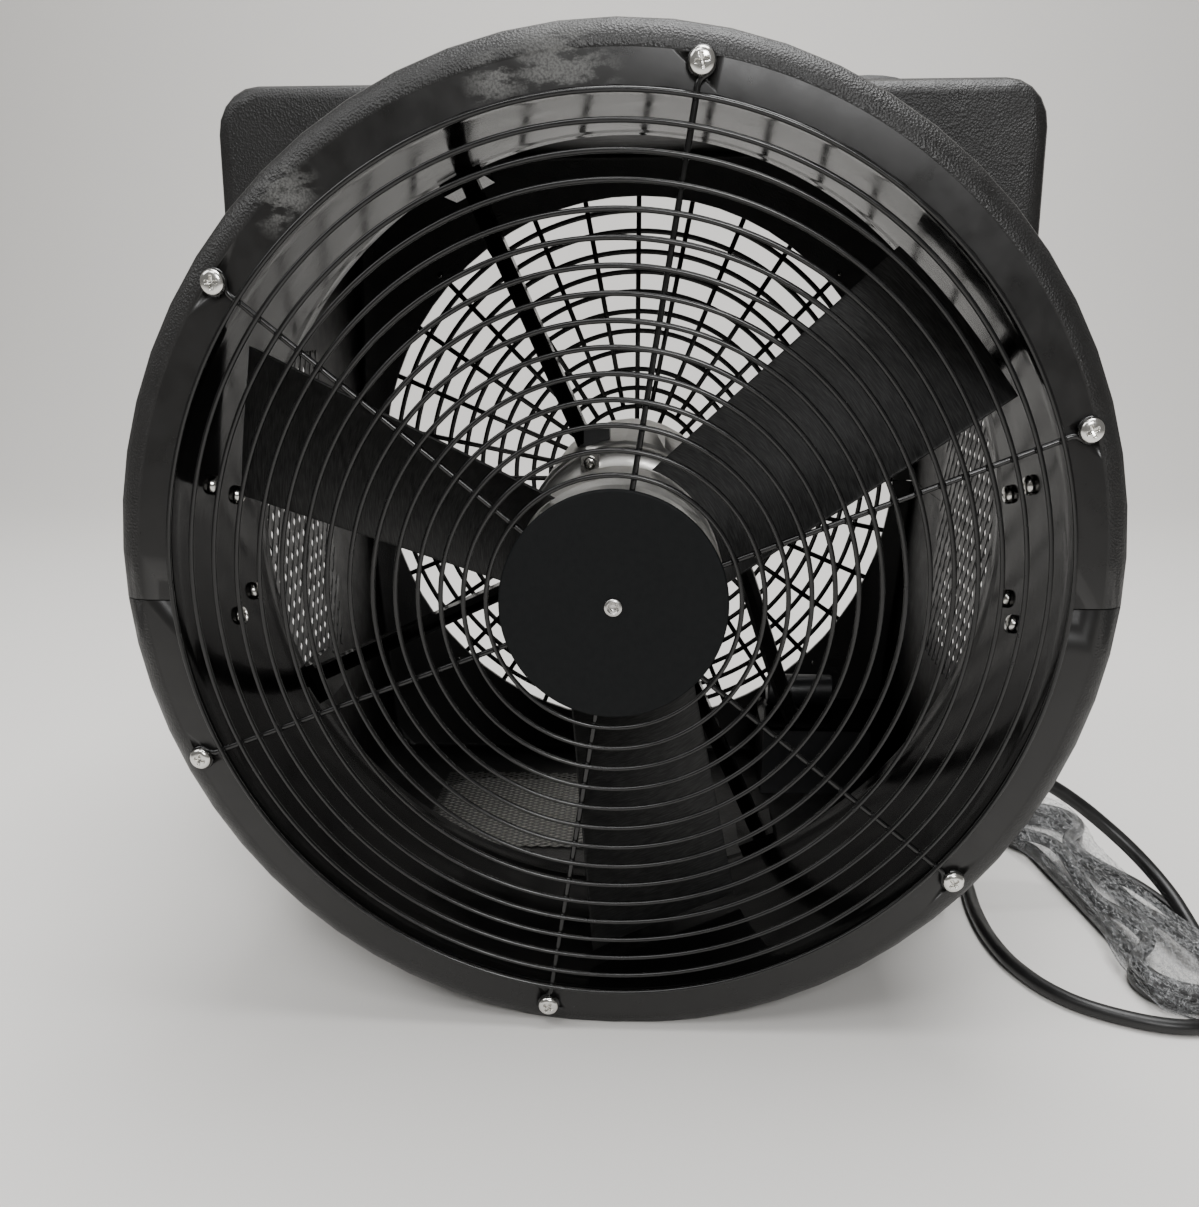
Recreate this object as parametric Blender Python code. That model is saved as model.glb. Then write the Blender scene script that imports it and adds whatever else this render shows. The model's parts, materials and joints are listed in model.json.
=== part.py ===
"""Round-outlet axial blower in a two-part moulded housing, lying on its side.

The outlet faces -Y, +Z is up, z = 0 is the surface the blower rests on. Metres.
Run with: blender --background --python part.py
"""
import math

import bmesh
import bpy
from mathutils import Matrix, Vector

# ---------------------------------------------------------------- overall frame
DEPTH = 0.486                      # foremost rivet head to the rear stand-off pads
AXIS_Z = 0.2535                    # fan axis above the floor
GUARD_Y = -DEPTH / 2 + 0.0033      # plane of the front guard's rings
GAP = 0.0003                       # clearance between touching pieces
SEGMENTS = 64                      # round shells
SMALL = 10                         # sides of a fastener

# ---------------------------------------------------------------- front guard
RING_COUNT, RING_OUTER, RING_PITCH, RING_WIRE = 15, 0.228, 0.01164, 0.0013
SPOKE_COUNT, SPOKE_FIRST, SPOKE_WIRE, SPOKE_DEPTH = 6, 21.0, 0.0015, 0.0025
SPOKE_INNER = 0.024
SCREW_CIRCLE, HOOK_RADIUS = 0.241, 0.0052
SCREW_HEAD_R, SCREW_HEAD_H, SCREW_SHANK_R, SCREW_SHANK = 0.006, 0.0034, 0.003, 0.0170
PLATE_R, PLATE_BACK, PLATE_FRONT = 0.0587, 0.0007, -0.0020
CLAMP_R, CLAMP_THICK = 0.034, 0.0015
RIVET_R, RIVET_HEAD_R, RIVET_HEAD_H = 0.002, 0.0045, 0.0010

# ---------------------------------------------------------------- housing
FLANGE_FACE = 0.0043               # depth of the flange's flat face
FLANGE_R, FACE_R, LIP_DEPTH, LIP_IN = 0.2575, 0.2447, 0.0235, 0.2500
SHELL, BORE_R = 0.004, 0.2303
BOX_FRONT, BOX_REAR = 0.150, 0.468
BOX_HALF_WIDTH, BOX_HALF_HEIGHT, DRAFT = 0.241, AXIS_Z, 0.05
BOX_CORNER, BOX_WALL, BOX_FILLET = 0.025, 0.0035, 0.007
REAR_OPENING_R = 0.220
VENT_LONG, VENT_SHORT, VENT_CORNER, VENT_GROW = 0.105, 0.074, 0.030, 0.005
SIDE_VENT_DEPTH, FLOOR_VENT_DEPTH, FLOOR_VENT_X = 0.2465, 0.320, -0.055
PAD_X, PAD_Z, PAD_HALF = 0.198, 0.212, 0.014

# ---------------------------------------------------------------- duct and motor
DUCT_IN, DUCT_OUT, DUCT_FRONT, DUCT_REAR, DUCT_LIP = 0.2288, 0.2300, 0.0063, 0.165, 0.2362
BOLT_PLACES = ((0.062, 167.0), (0.105, 170.0), (0.090, 187.5), (0.121, 185.5),  # depth, degrees
               (0.077, 13.0), (0.123, 10.0), (0.089, 352.5), (0.111, 355.0))
ARM_ANGLES, ARM_DEPTH = (24.5, 114.5, 204.5, 294.5), 0.195
ARM_WIDTH, ARM_FOOT, ARM_TALL, ARM_SHEET = 0.0100, 0.026, 0.014, 0.0018
MOTOR_R, MOTOR_FRONT, MOTOR_REAR = 0.064, 0.166, 0.314
BELL_R, BELL_LENGTH = 0.062, 0.027
SHAFT_R, SHAFT_FRONT = 0.008, 0.034

# ---------------------------------------------------------------- rotor
BLADE_COUNT, BLADE_FIRST, BLADE_DEPTH = 3, 38.0, 0.066
BLADE_TIP, BLADE_THICK, BLADE_CAMBER = 0.2225, 0.0016, 0.09
CHORD_ROOT, CHORD_TIP, PITCH_ROOT, PITCH_TIP = 0.088, 0.106, 42.0, 33.0
HUB_R, HUB_FRONT, HUB_REAR, HUB_SHEET = 0.0575, 0.044, 0.096, 0.003

# ---------------------------------------------------------------- rear guard
REAR_RINGS = (0.060, 0.090, 0.120, 0.150, 0.180, 0.210)
REAR_BARS, REAR_BAR, REAR_DISC, REAR_RIM = 16, 0.0040, 0.034, (0.2262, 0.2328)
REAR_GUARD_DEPTH, REAR_GUARD_THICK = BOX_REAR + GAP, 0.0035

# ---------------------------------------------------------------- controls and cord
SWITCH_DEPTH, SWITCH_Z, ROCKER_SWING = 0.395, 0.060, 8.0  # swing: degrees either side of level
GLAND_DEPTH, GLAND_Z, GLAND_REACH = 0.188, -0.157, 0.030
CORD_R = 0.00475
CORD_FLOOR = CORD_R + GAP
HANK_START, HANK_RUN = (0.322, 0.075), (0.1257, -0.9921)   # rear end and unit direction in plan
HANK_LENGTH, HANK_HALF, HANK_TALL = 0.270, 0.0215, 0.029
HANK_STEP, HANK_WIDE, FEED_SIDE, LEAD_SIDE = 0.197, 0.042, 0.0285, 0.023
PLUG_PLACE, PLUG_HEADING = (0.2555, 0.128), 89.0
PLUG_LENGTH, PLUG_WIDTH, PLUG_TALL = 0.040, 0.028, 0.022

MATERIALS = {
    "housing_black": ((0.030, 0.031, 0.032), 0.55, 0.0),
    "gloss_black": ((0.012, 0.012, 0.013), 0.14, 0.0),
    "wire_black": ((0.020, 0.020, 0.020), 0.30, 0.0),
    "matte_black": ((0.045, 0.047, 0.050), 0.75, 0.0),
    "blade_black": ((0.040, 0.042, 0.045), 0.38, 0.4),
    "cast_aluminium": ((0.62, 0.62, 0.60), 0.36, 1.0),
    "steel": ((0.66, 0.65, 0.62), 0.28, 1.0),
    "zinc": ((0.72, 0.71, 0.68), 0.24, 1.0),
    "mesh_black": ((0.018, 0.018, 0.018), 0.45, 0.0),
    "nylon_black": ((0.028, 0.028, 0.030), 0.50, 0.0),
    "rocker_red": ((0.45, 0.02, 0.02), 0.35, 0.0),
    "cord_rubber": ((0.030, 0.030, 0.032), 0.45, 0.0),
    "brass": ((0.78, 0.60, 0.28), 0.25, 1.0),
}


def at(depth):
    """World y of a plane that lies depth behind the guard's rings."""
    return GUARD_Y + depth


def polar(radius, degrees, depth):
    """World point at a radius and an angle about the fan axis."""
    turn = math.radians(degrees)
    return Vector((radius * math.cos(turn), at(depth), AXIS_Z + radius * math.sin(turn)))


def side_wall(z_from_axis, inset=0.0):
    """World x of the right wall at a height from the axis."""
    return BOX_HALF_WIDTH - DRAFT * abs(z_from_axis) - inset * math.hypot(1.0, DRAFT)


# ---------------------------------------------------------------- mesh helpers
def new_object(name, verts, faces):
    """A closed mesh object with outward faces."""
    mesh = bpy.data.meshes.new(name)
    mesh.from_pydata([tuple(v) for v in verts], [], faces)
    shaped = bmesh.new()
    shaped.from_mesh(mesh)
    bmesh.ops.remove_doubles(shaped, verts=shaped.verts, dist=1e-6)
    bmesh.ops.recalc_face_normals(shaped, faces=shaped.faces)
    shaped.to_mesh(mesh)
    shaped.free()
    made = bpy.data.objects.new(name, mesh)
    bpy.context.scene.collection.objects.link(made)
    return made


def turned(name, profile, origin, axis, sides, closed=False):
    """Turn (along, radius) points about an axis; closed rings join last to first."""
    along = Vector(axis).normalized()
    across = Vector((1, 0, 0)) if abs(along.x) < 0.9 else Vector((0, 1, 0))
    across = (across - along * across.dot(along)).normalized()
    third = across.cross(along)
    verts, faces = [], []
    for reach, radius in profile:
        for k in range(sides):
            turn = 2 * math.pi * k / sides
            spoke = across * math.cos(turn) + third * math.sin(turn)
            verts.append(Vector(origin) + along * reach + spoke * radius)
    rows = len(profile)
    for i in range(rows if closed else rows - 1):
        j = (i + 1) % rows
        for k in range(sides):
            m = (k + 1) % sides
            faces.append((i * sides + k, i * sides + m, j * sides + m, j * sides + k))
    if not closed:
        faces.append(tuple(range(sides)))
        faces.append(tuple((rows - 1) * sides + k for k in range(sides)))
    return new_object(name, verts, faces)


def fan_ring(name, profile, closed=True, sides=SEGMENTS):
    """Turn (depth, radius) points about the fan axis."""
    return turned(name, profile, (0.0, GUARD_Y, AXIS_Z), (0, 1, 0), sides, closed)


def block(name, low, high):
    """Box between two world corners."""
    verts = [(x, y, z) for x in (low[0], high[0]) for y in (low[1], high[1]) for z in (low[2], high[2])]
    faces = [(0, 1, 3, 2), (4, 6, 7, 5), (0, 4, 5, 1), (2, 3, 7, 6), (0, 2, 6, 4), (1, 5, 7, 3)]
    return new_object(name, verts, faces)


def prism(name, outline, along, place=Matrix.Identity(4)):
    """Extrude an outline in the local XZ plane between two local y values."""
    count = len(outline)
    verts = [place @ Vector((x, y, z)) for y in along for x, z in outline]
    faces = [(k, (k + 1) % count, count + (k + 1) % count, count + k) for k in range(count)]
    faces += [tuple(range(count)), tuple(range(count, 2 * count))]
    return new_object(name, verts, faces)


def rounded(half_a, half_b, corner, steps=5):
    """Outline of a rounded rectangle about the origin."""
    points = []
    for quarter, (sa, sb) in enumerate(((1, 1), (-1, 1), (-1, -1), (1, -1))):
        for k in range(steps + 1):
            turn = math.pi / 2 * (quarter + k / steps)
            points.append((sa * (half_a - corner) + corner * math.cos(turn),
                           sb * (half_b - corner) + corner * math.sin(turn)))
    return points


def swept(points, radius, sides, close=False):
    """Vertices and faces of a wire through points, its cross-section kept upright on Y."""
    verts, faces = [], []
    count = len(points)
    for i, here in enumerate(points):
        ahead = points[(i + 1) % count] if close or i + 1 < count else here
        behind = points[i - 1] if close or i > 0 else here
        run = (ahead - behind).normalized()
        lift = Vector((0, 1, 0))
        side = run.cross(lift).normalized()
        for k in range(sides):
            turn = 2 * math.pi * k / sides
            verts.append(here + side * radius * math.cos(turn) + lift * radius * math.sin(turn))
    for i in range(count if close else count - 1):
        j = (i + 1) % count
        for k in range(sides):
            m = (k + 1) % sides
            faces.append((i * sides + k, i * sides + m, j * sides + m, j * sides + k))
    if not close:
        faces.append(tuple(range(sides)))
        faces.append(tuple((count - 1) * sides + k for k in range(sides)))
    return verts, faces


def gathered(name, shapes):
    """One object from several (verts, faces) that don't touch."""
    verts, faces = [], []
    for part_verts, part_faces in shapes:
        base = len(verts)
        verts += part_verts
        faces += [tuple(base + i for i in face) for face in part_faces]
    return new_object(name, verts, faces)


def joined(name, objects):
    """One object from several objects that don't touch."""
    shapes = []
    for piece in objects:
        corners = [v.co.copy() for v in piece.data.vertices]
        shapes.append((corners, [tuple(p.vertices) for p in piece.data.polygons]))
        bpy.data.objects.remove(piece)
    return gathered(name, shapes)


def combined(target, other, operation):
    """Apply one exact Boolean and drop the other object."""
    step = target.modifiers.new(operation.lower(), "BOOLEAN")
    step.operation, step.solver, step.object = operation, "EXACT", other
    seen = target.evaluated_get(bpy.context.evaluated_depsgraph_get())
    mesh = bpy.data.meshes.new_from_object(seen)
    target.modifiers.clear()
    target.data = mesh
    bpy.data.objects.remove(other)
    return target


def fused(target, *others):
    for other in others:
        combined(target, other, "UNION")
    return target


def carved(target, *cutters):
    for cutter in cutters:
        combined(target, cutter, "DIFFERENCE")
    return target


def coated(piece, slot):
    """Give a finished piece its one material."""
    material = bpy.data.materials.get(slot)
    if material is None:
        colour, roughness, metallic = MATERIALS[slot]
        material = bpy.data.materials.new(slot)
        material.use_nodes = True
        shader = material.node_tree.nodes["Principled BSDF"]
        shader.inputs["Base Color"].default_value = (*colour, 1.0)
        shader.inputs["Roughness"].default_value = roughness
        shader.inputs["Metallic"].default_value = metallic
        material.diffuse_color = (*colour, 1.0)
    piece.data.materials.clear()
    piece.data.materials.append(material)
    if piece.type == "MESH":
        for face in piece.data.polygons:
            face.material_index = 0
    return piece


def hung_on(piece, pivot):
    """Move a piece's origin to its joint's empty and parent it there."""
    piece.data.transform(Matrix.Translation(-pivot.location))
    piece.parent = pivot
    return piece


# ---------------------------------------------------------------- front guard
def hook_route(degrees):
    """Spoke centreline: straight out from the centre, then round its screw, left open."""
    out = Vector((math.cos(math.radians(degrees)), 0, math.sin(math.radians(degrees))))
    across = Vector((-out.z, 0, out.x))
    centre = Vector((0, at(SPOKE_DEPTH), AXIS_Z))
    points = [centre + out * reach for reach in (SPOKE_INNER, 0.100, 0.170, 0.2290)]
    for k in range(11):
        turn = math.radians(-150 + 30 * k)
        ahead, aside = HOOK_RADIUS * math.cos(turn), HOOK_RADIUS * math.sin(turn)
        points.append(centre + out * (SCREW_CIRCLE + ahead) + across * aside)
    return points


def front_guard():
    """Fifteen rings welded to six hooked spokes: one body."""
    rings = []
    for k in range(RING_COUNT):
        radius = RING_OUTER - k * RING_PITCH
        circle = [polar(radius, 360 * (i + 0.5) / 32, 0.0) for i in range(32)]
        rings.append(swept(circle, RING_WIRE, 4, close=True))
    spokes = [swept(hook_route(SPOKE_FIRST + 360 / SPOKE_COUNT * k), SPOKE_WIRE, 6)
              for k in range(SPOKE_COUNT)]
    coated(fused(gathered("front_guard", rings), gathered("spokes", spokes)), "wire_black")


def guard_centre():
    """Centre plate, its clamp disc behind the spokes and the rivet through both."""
    hole = RIVET_R + GAP
    coated(fan_ring("guard_plate", [(PLATE_BACK, hole), (PLATE_BACK, PLATE_R), (PLATE_FRONT + 0.0008, PLATE_R),
                                    (PLATE_FRONT, PLATE_R - 0.0012), (PLATE_FRONT, hole)], sides=48),
           "matte_black")
    clamp = SPOKE_DEPTH + SPOKE_WIRE + GAP
    coated(fan_ring("plate_clamp", [(clamp, hole), (clamp, CLAMP_R), (clamp + CLAMP_THICK, CLAMP_R),
                                    (clamp + CLAMP_THICK, hole)], sides=24), "wire_black")
    head, tail = PLATE_FRONT - GAP, clamp + CLAMP_THICK + GAP
    coated(fan_ring("plate_rivet", [(head - RIVET_HEAD_H, RIVET_HEAD_R * 0.7), (head, RIVET_HEAD_R),
                                    (head, RIVET_R), (tail, RIVET_R), (tail, RIVET_HEAD_R * 0.8),
                                    (tail + RIVET_HEAD_H, RIVET_HEAD_R * 0.6)], closed=False, sides=12), "steel")


def screw(name, seat, inward, head_r, head_h, shank_r, shank, slot):
    """Pan-head screw: seat is under its head, and inward points along its shank."""
    profile = [(-head_h, head_r * 0.55), (-head_h * 0.7, head_r * 0.88), (-head_h * 0.25, head_r), (0, head_r),
               (0, shank_r), (shank, shank_r)]
    coated(turned(name, profile, seat, inward, SMALL, False), slot)


def guard_screws():
    """Six pan-head screws that clamp the spoke hooks to the flange."""
    under_head = SPOKE_DEPTH - SPOKE_WIRE - GAP
    for k in range(SPOKE_COUNT):
        seat = polar(SCREW_CIRCLE, SPOKE_FIRST + 360 / SPOKE_COUNT * k, under_head)
        screw(f"guard_screw_{k + 1}", seat, (0, 1, 0), SCREW_HEAD_R, SCREW_HEAD_H, SCREW_SHANK_R, SCREW_SHANK,
              "zinc")


# ---------------------------------------------------------------- housing
def box_outline(inset):
    """Section of the box in XZ: sides drafted from the parting line, round corners."""
    slope = math.hypot(1.0, DRAFT)
    corner = BOX_CORNER - inset
    centre_z = BOX_HALF_HEIGHT - BOX_CORNER
    centre_x = BOX_HALF_WIDTH - DRAFT * centre_z - BOX_CORNER * slope
    first = math.atan(DRAFT)
    quarter = [(BOX_HALF_WIDTH - inset * slope, 0.0)]
    for k in range(6):
        turn = first + (math.pi / 2 - first) * k / 5
        quarter.append((centre_x + corner * math.cos(turn), centre_z + corner * math.sin(turn)))
    upper = quarter + [(-x, z) for x, z in reversed(quarter)]
    lower = [(x, -z) for x, z in reversed(upper[1:-1])]
    return [(x, AXIS_Z + z) for x, z in upper + lower]


def lofted(name, sections):
    """Loft the box's outline through (depth, inset) sections."""
    outlines = [box_outline(inset) for _, inset in sections]
    count = len(outlines[0])
    verts = [(x, at(depth), z) for (depth, _), outline in zip(sections, outlines) for x, z in outline]
    faces = []
    for i in range(len(sections) - 1):
        for k in range(count):
            m = (k + 1) % count
            faces.append((i * count + k, i * count + m, (i + 1) * count + m, (i + 1) * count + k))
    faces += [tuple(range(count)), tuple((len(sections) - 1) * count + k for k in range(count))]
    return new_object(name, verts, faces)


def wall_frame(depth, z_from_axis):
    """Frame on the right wall: local +X leaves the wall, local Y is world Y."""
    tilt = -math.copysign(math.atan(DRAFT), z_from_axis)
    point = (side_wall(z_from_axis), at(depth), AXIS_Z + z_from_axis)
    return Matrix.Translation(point) @ Matrix.Rotation(tilt, 4, "Y")


def vent_cutters():
    """Rounded openings in both side walls and in the floor wall."""
    turn_x = Matrix.Translation((0, at(SIDE_VENT_DEPTH), AXIS_Z)) @ Matrix.Rotation(math.pi / 2, 4, "Z")
    side_shape = rounded(VENT_SHORT, VENT_LONG, VENT_CORNER)
    floor_shape = rounded(VENT_LONG, VENT_SHORT, VENT_CORNER)
    lay = Matrix.Translation((FLOOR_VENT_X, at(FLOOR_VENT_DEPTH), 0.0)) @ Matrix.Rotation(math.pi / 2, 4, "X")
    return [prism("vent_right", side_shape, (-0.30, -0.20), turn_x),
            prism("vent_left", side_shape, (0.20, 0.30), turn_x),
            prism("vent_floor", floor_shape, (-0.02, 0.02), lay)]


def housing():
    """Hollow box, neck and flange in one moulding, split at the parting line."""
    shell = lofted("housing", [(BOX_FRONT, BOX_FILLET), (BOX_FRONT + 0.0021, 0.0021), (BOX_FRONT + 0.007, 0),
                               (BOX_REAR - 0.007, 0), (BOX_REAR - 0.0021, 0.0021), (BOX_REAR, BOX_FILLET)])
    cavity = lofted("cavity", [(BOX_FRONT + BOX_WALL, BOX_WALL + 0.003), (BOX_FRONT + 0.008, BOX_WALL),
                               (BOX_REAR - 0.008, BOX_WALL), (BOX_REAR - BOX_WALL, BOX_WALL + 0.003)])
    wide = BORE_R + 0.002
    bores = [fan_ring("bore", [(BOX_FRONT - 0.02, wide), (BOX_FRONT + 0.02, wide)], closed=False),
             fan_ring("rear_bore", [(0.44, REAR_OPENING_R), (0.50, REAR_OPENING_R)], closed=False)]
    carved(shell, cavity, *bores)
    neck = fan_ring("neck", [
        (FLANGE_FACE, BORE_R), (FLANGE_FACE, FACE_R), (0.0055, 0.2494), (0.0080, 0.2532), (0.0112, 0.2563),
        (0.0150, FLANGE_R), (LIP_DEPTH, FLANGE_R), (LIP_DEPTH, LIP_IN), (0.0140, LIP_IN), (0.0090, 0.2470),
        (0.0083, BORE_R + SHELL), (BOX_FRONT + BOX_WALL + 0.001, BORE_R + SHELL),
        (BOX_FRONT + BOX_WALL + 0.001, BORE_R)])
    carved(neck, block("floor_flat", (-0.10, at(-0.01), -0.05), (0.10, at(0.05), 0.0)))
    fused(shell, neck)
    bosses, pilots = [], []
    for k in range(SPOKE_COUNT):
        centre = polar(SCREW_CIRCLE, SPOKE_FIRST + 360 / SPOKE_COUNT * k, 0.0)
        bosses.append(turned("boss", [(0.0070, 0.0066), (0.0215, 0.0060)], centre, (0, 1, 0), SMALL, False))
        pilots.append(turned("pilot", [(0.0, 0.0034), (0.0195, 0.0034)], centre, (0, 1, 0), SMALL, False))
    pads = [block("pad", (sx * PAD_X - PAD_HALF, at(BOX_REAR - 0.002), AXIS_Z + sz * PAD_Z - PAD_HALF),
                  (sx * PAD_X + PAD_HALF, DEPTH / 2, AXIS_Z + sz * PAD_Z + PAD_HALF))
            for sx in (-1, 1) for sz in (-1, 1)]
    fused(shell, joined("bosses", bosses), joined("pads", pads))
    holes = pilots + [bolt_hole(*place) for place in BOLT_PLACES]
    holes += [turned("rear_hole", [(-0.01, 0.0023), (0.01, 0.0023)], polar(rear_screw_circle(), a, BOX_REAR),
                     (0, 1, 0), 8, False) for a in rear_screw_angles()]
    gland_at, switch_at = wall_frame(GLAND_DEPTH, GLAND_Z), wall_frame(SWITCH_DEPTH, SWITCH_Z)
    holes.append(turned("gland_hole", [(-0.02, 0.0084), (0.02, 0.0084)], gland_at.translation,
                        gland_at.to_3x3() @ Vector((1, 0, 0)), 16, False))
    switch_hole = block("switch_hole", (-0.02, -0.0140, -0.0110), (0.02, 0.0140, 0.0110))
    switch_hole.data.transform(switch_at)
    carved(shell, joined("vents", vent_cutters()), joined("holes", holes + [switch_hole]))
    lower = shell.copy()
    lower.data = shell.data.copy()
    lower.name = "housing_lower"
    bpy.context.scene.collection.objects.link(lower)
    shell.name = "housing_upper"
    carved(shell, block("below", (-0.4, -0.4, -0.1), (0.4, 0.4, AXIS_Z + GAP)))
    carved(lower, block("above", (-0.4, -0.4, AXIS_Z - GAP), (0.4, 0.4, 0.7)))
    coated(shell, "housing_black")
    coated(lower, "housing_black")


def bolt_hole(depth, degrees):
    """Radial clearance hole through the duct and the neck."""
    outward = polar(1.0, degrees, depth) - polar(0.0, degrees, depth)
    seat = polar(DUCT_OUT, degrees, depth)
    return turned("bolt_hole", [(-0.008, 0.0033), (0.012, 0.0033)], seat, outward, 8, False)


def carry_loop():
    """Low strap over the top wall with a finger gap under it."""
    half, rise, foot, strap, centre_x, depth, wide = 0.040, 0.0135, 0.010, 0.003, 0.142, 0.250, 0.026
    arch = lambda grow: [((half - foot + grow) * math.cos(t), (rise - strap + grow) * math.sin(t) ** 0.8)
                         for t in (math.pi * k / 12 for k in range(13))]
    inner = arch(0.0)
    outer = arch(strap)
    outline = [(half + 0.004, 0.0), (half + 0.002, 0.003)] + outer[1:-1]
    outline += [(-half - 0.002, 0.003), (-half - 0.004, 0.0)]
    outline += [(x, z) for x, z in reversed(inner)]
    place = Matrix.Translation((centre_x, at(depth), AXIS_Z + BOX_HALF_HEIGHT + GAP))
    coated(prism("carry_loop", outline, (-wide / 2, wide / 2), place), "housing_black")


def vent_meshes():
    """Plain sheets behind the three side openings; their mesh is drawn by scene.py."""
    grow, thick = VENT_GROW, 0.001
    side_shape = rounded(VENT_SHORT + grow, VENT_LONG + grow, VENT_CORNER + grow)
    inner = side_wall(VENT_LONG + grow, BOX_WALL) - GAP
    for name, sign in (("vent_mesh_right", 1), ("vent_mesh_left", -1)):
        place = Matrix.Translation((0, at(SIDE_VENT_DEPTH), AXIS_Z))
        place = place @ Matrix.Rotation(-math.pi / 2 * sign, 4, "Z")
        coated(prism(name, side_shape, (inner - thick, inner), place), "mesh_black")
    floor_shape = rounded(VENT_LONG + grow, VENT_SHORT + grow, VENT_CORNER + grow)
    lay = Matrix.Translation((FLOOR_VENT_X, at(FLOOR_VENT_DEPTH), BOX_WALL + GAP))
    lay = lay @ Matrix.Rotation(math.pi / 2, 4, "X")
    coated(prism("vent_mesh_floor", floor_shape, (0.0, thick), lay), "mesh_black")


# ---------------------------------------------------------------- duct and motor
def duct():
    """Steel inner duct with an outward rear lip, and the bolts that hold it."""
    ring = fan_ring("duct_ring", [(DUCT_FRONT, DUCT_IN), (DUCT_FRONT, DUCT_OUT), (DUCT_REAR - 0.0012, DUCT_OUT),
                                  (DUCT_REAR - 0.0012, DUCT_LIP), (DUCT_REAR, DUCT_LIP), (DUCT_REAR, DUCT_IN)])
    carved(ring, joined("holes", [bolt_hole(*place) for place in BOLT_PLACES]))
    coated(ring, "gloss_black")
    seat_r = DUCT_IN * math.cos(math.pi / SEGMENTS) - GAP
    for number, (depth, degrees) in enumerate(BOLT_PLACES, 1):
        outward = polar(1.0, degrees, depth) - polar(0.0, degrees, depth)
        seat = polar(seat_r, degrees, depth)
        screw(f"duct_bolt_{number}", seat, outward, 0.0055, 0.0036, 0.003, 0.012, "zinc")


def motor_arms():
    """Four open channels from the motor to the duct's rear lip."""
    start, end = MOTOR_R + GAP, DUCT_LIP - 0.001
    half, tall, sheet = ARM_WIDTH / 2, ARM_TALL, ARM_SHEET
    channel = [(-half, 0), (-half + sheet, 0), (-half + sheet, tall - sheet), (half - sheet, tall - sheet),
               (half - sheet, 0), (half, 0), (half, tall), (-half, tall)]
    for number, degrees in enumerate(ARM_ANGLES, 1):
        turn = Matrix.Translation((0, 0, AXIS_Z)) @ Matrix.Rotation(-math.radians(degrees), 4, "Y")
        upright = turn @ Matrix.Rotation(-math.pi / 2, 4, "Z")
        outline = [(-(at(ARM_DEPTH) + y), side) for side, y in channel]
        arm = prism(f"motor_arm_{number}", outline, (start, end), upright)
        foot = block("foot", (DUCT_OUT - 0.006, at(DUCT_REAR) + GAP, -ARM_FOOT / 2),
                     (end, at(ARM_DEPTH) + tall - 0.0005, ARM_FOOT / 2))
        foot.data.transform(turn)
        coated(fused(arm, foot), "gloss_black")


def motor():
    """Cast front bell, body and rear bell with a blind bore for the shaft."""
    bore, lead = SHAFT_R + GAP, MOTOR_FRONT - BELL_LENGTH - GAP
    outside = [(lead, 0.030), (lead + 0.003, 0.044), (lead + 0.004, BELL_R - 0.008), (lead + 0.009, BELL_R - 0.002),
               (lead + 0.014, BELL_R), (lead + BELL_LENGTH, BELL_R)]
    bell = fan_ring("motor_front_bell", [(lead, bore)] + outside + [(lead + BELL_LENGTH, bore)], sides=32)
    coated(bell, "cast_aluminium")
    body = fan_ring("motor_body", [(MOTOR_FRONT, MOTOR_R), (MOTOR_REAR, MOTOR_R)], closed=False, sides=32)
    blind = fan_ring("blind", [(MOTOR_FRONT - 0.02, bore), (MOTOR_FRONT + 0.040, bore)], closed=False, sides=32)
    coated(carved(body, blind), "cast_aluminium")
    tail = MOTOR_REAR + GAP
    coated(fan_ring("motor_rear_bell", [(tail, 0.062), (tail + 0.010, 0.062), (tail + 0.018, 0.054),
                                        (tail + 0.020, 0.030)], closed=False, sides=32), "cast_aluminium")
    lug_z = AXIS_Z + 0.0535
    tab = block("ground_tab", (-0.0255, at(lead), lug_z - 0.0050), (-0.0145, at(lead + 0.010), lug_z + 0.0050))
    grown = [(depth - GAP, radius + GAP) for depth, radius in outside]
    carved(tab, fan_ring("trim", grown, closed=False, sides=32))
    coated(tab, "steel")
    screw("ground_screw", (-0.0200, at(lead) - GAP, lug_z), (0, 1, 0), 0.0042, 0.003, 0.001, 0.0002, "zinc")
    plug_depth = 0.182
    terminal = block("terminal_block", (-0.026, at(plug_depth) - 0.008, AXIS_Z + MOTOR_R - 0.010),
                     (-0.010, at(plug_depth) + 0.008, AXIS_Z + MOTOR_R + 0.006))
    carved(terminal, fan_ring("trim", [(0.1, MOTOR_R + GAP), (0.3, MOTOR_R + GAP)], closed=False, sides=32))
    coated(terminal, "nylon_black")


def controls():
    """Control box on the floor wall, its lid, the run capacitor and the motor's sleeved lead."""
    floor = BOX_WALL + GAP
    lid_z = AXIS_Z - 0.192
    coated(block("control_box", (0.112, at(0.362), floor), (0.202, at(0.440), lid_z)), "nylon_black")
    lid = block("control_lid", (0.110, at(0.360), lid_z + GAP), (0.223, at(0.442), lid_z + 0.0030))
    coated(lid, "gloss_black")
    can = turned("run_capacitor", [(0, 0.0125), (0.002, 0.014), (0.055, 0.014), (0.057, 0.0125)],
                 (0.118, at(0.420), lid_z + 0.003 + GAP + 0.0141), (1, 0, 0), 16, False)
    coated(can, "nylon_black")
    lead = [Vector((0.0715, at(0.215), AXIS_Z - 0.012)), Vector((0.083, at(0.240), AXIS_Z - 0.036)),
            Vector((0.100, at(0.270), AXIS_Z - 0.085)), Vector((0.119, at(0.300), AXIS_Z - 0.138)),
            Vector((0.131, at(0.335), AXIS_Z - 0.170)), Vector((0.136, at(0.375), AXIS_Z - 0.1805))]
    cable("motor_lead", lead, 0.0065, 2, "cord_rubber", 0.012)


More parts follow.
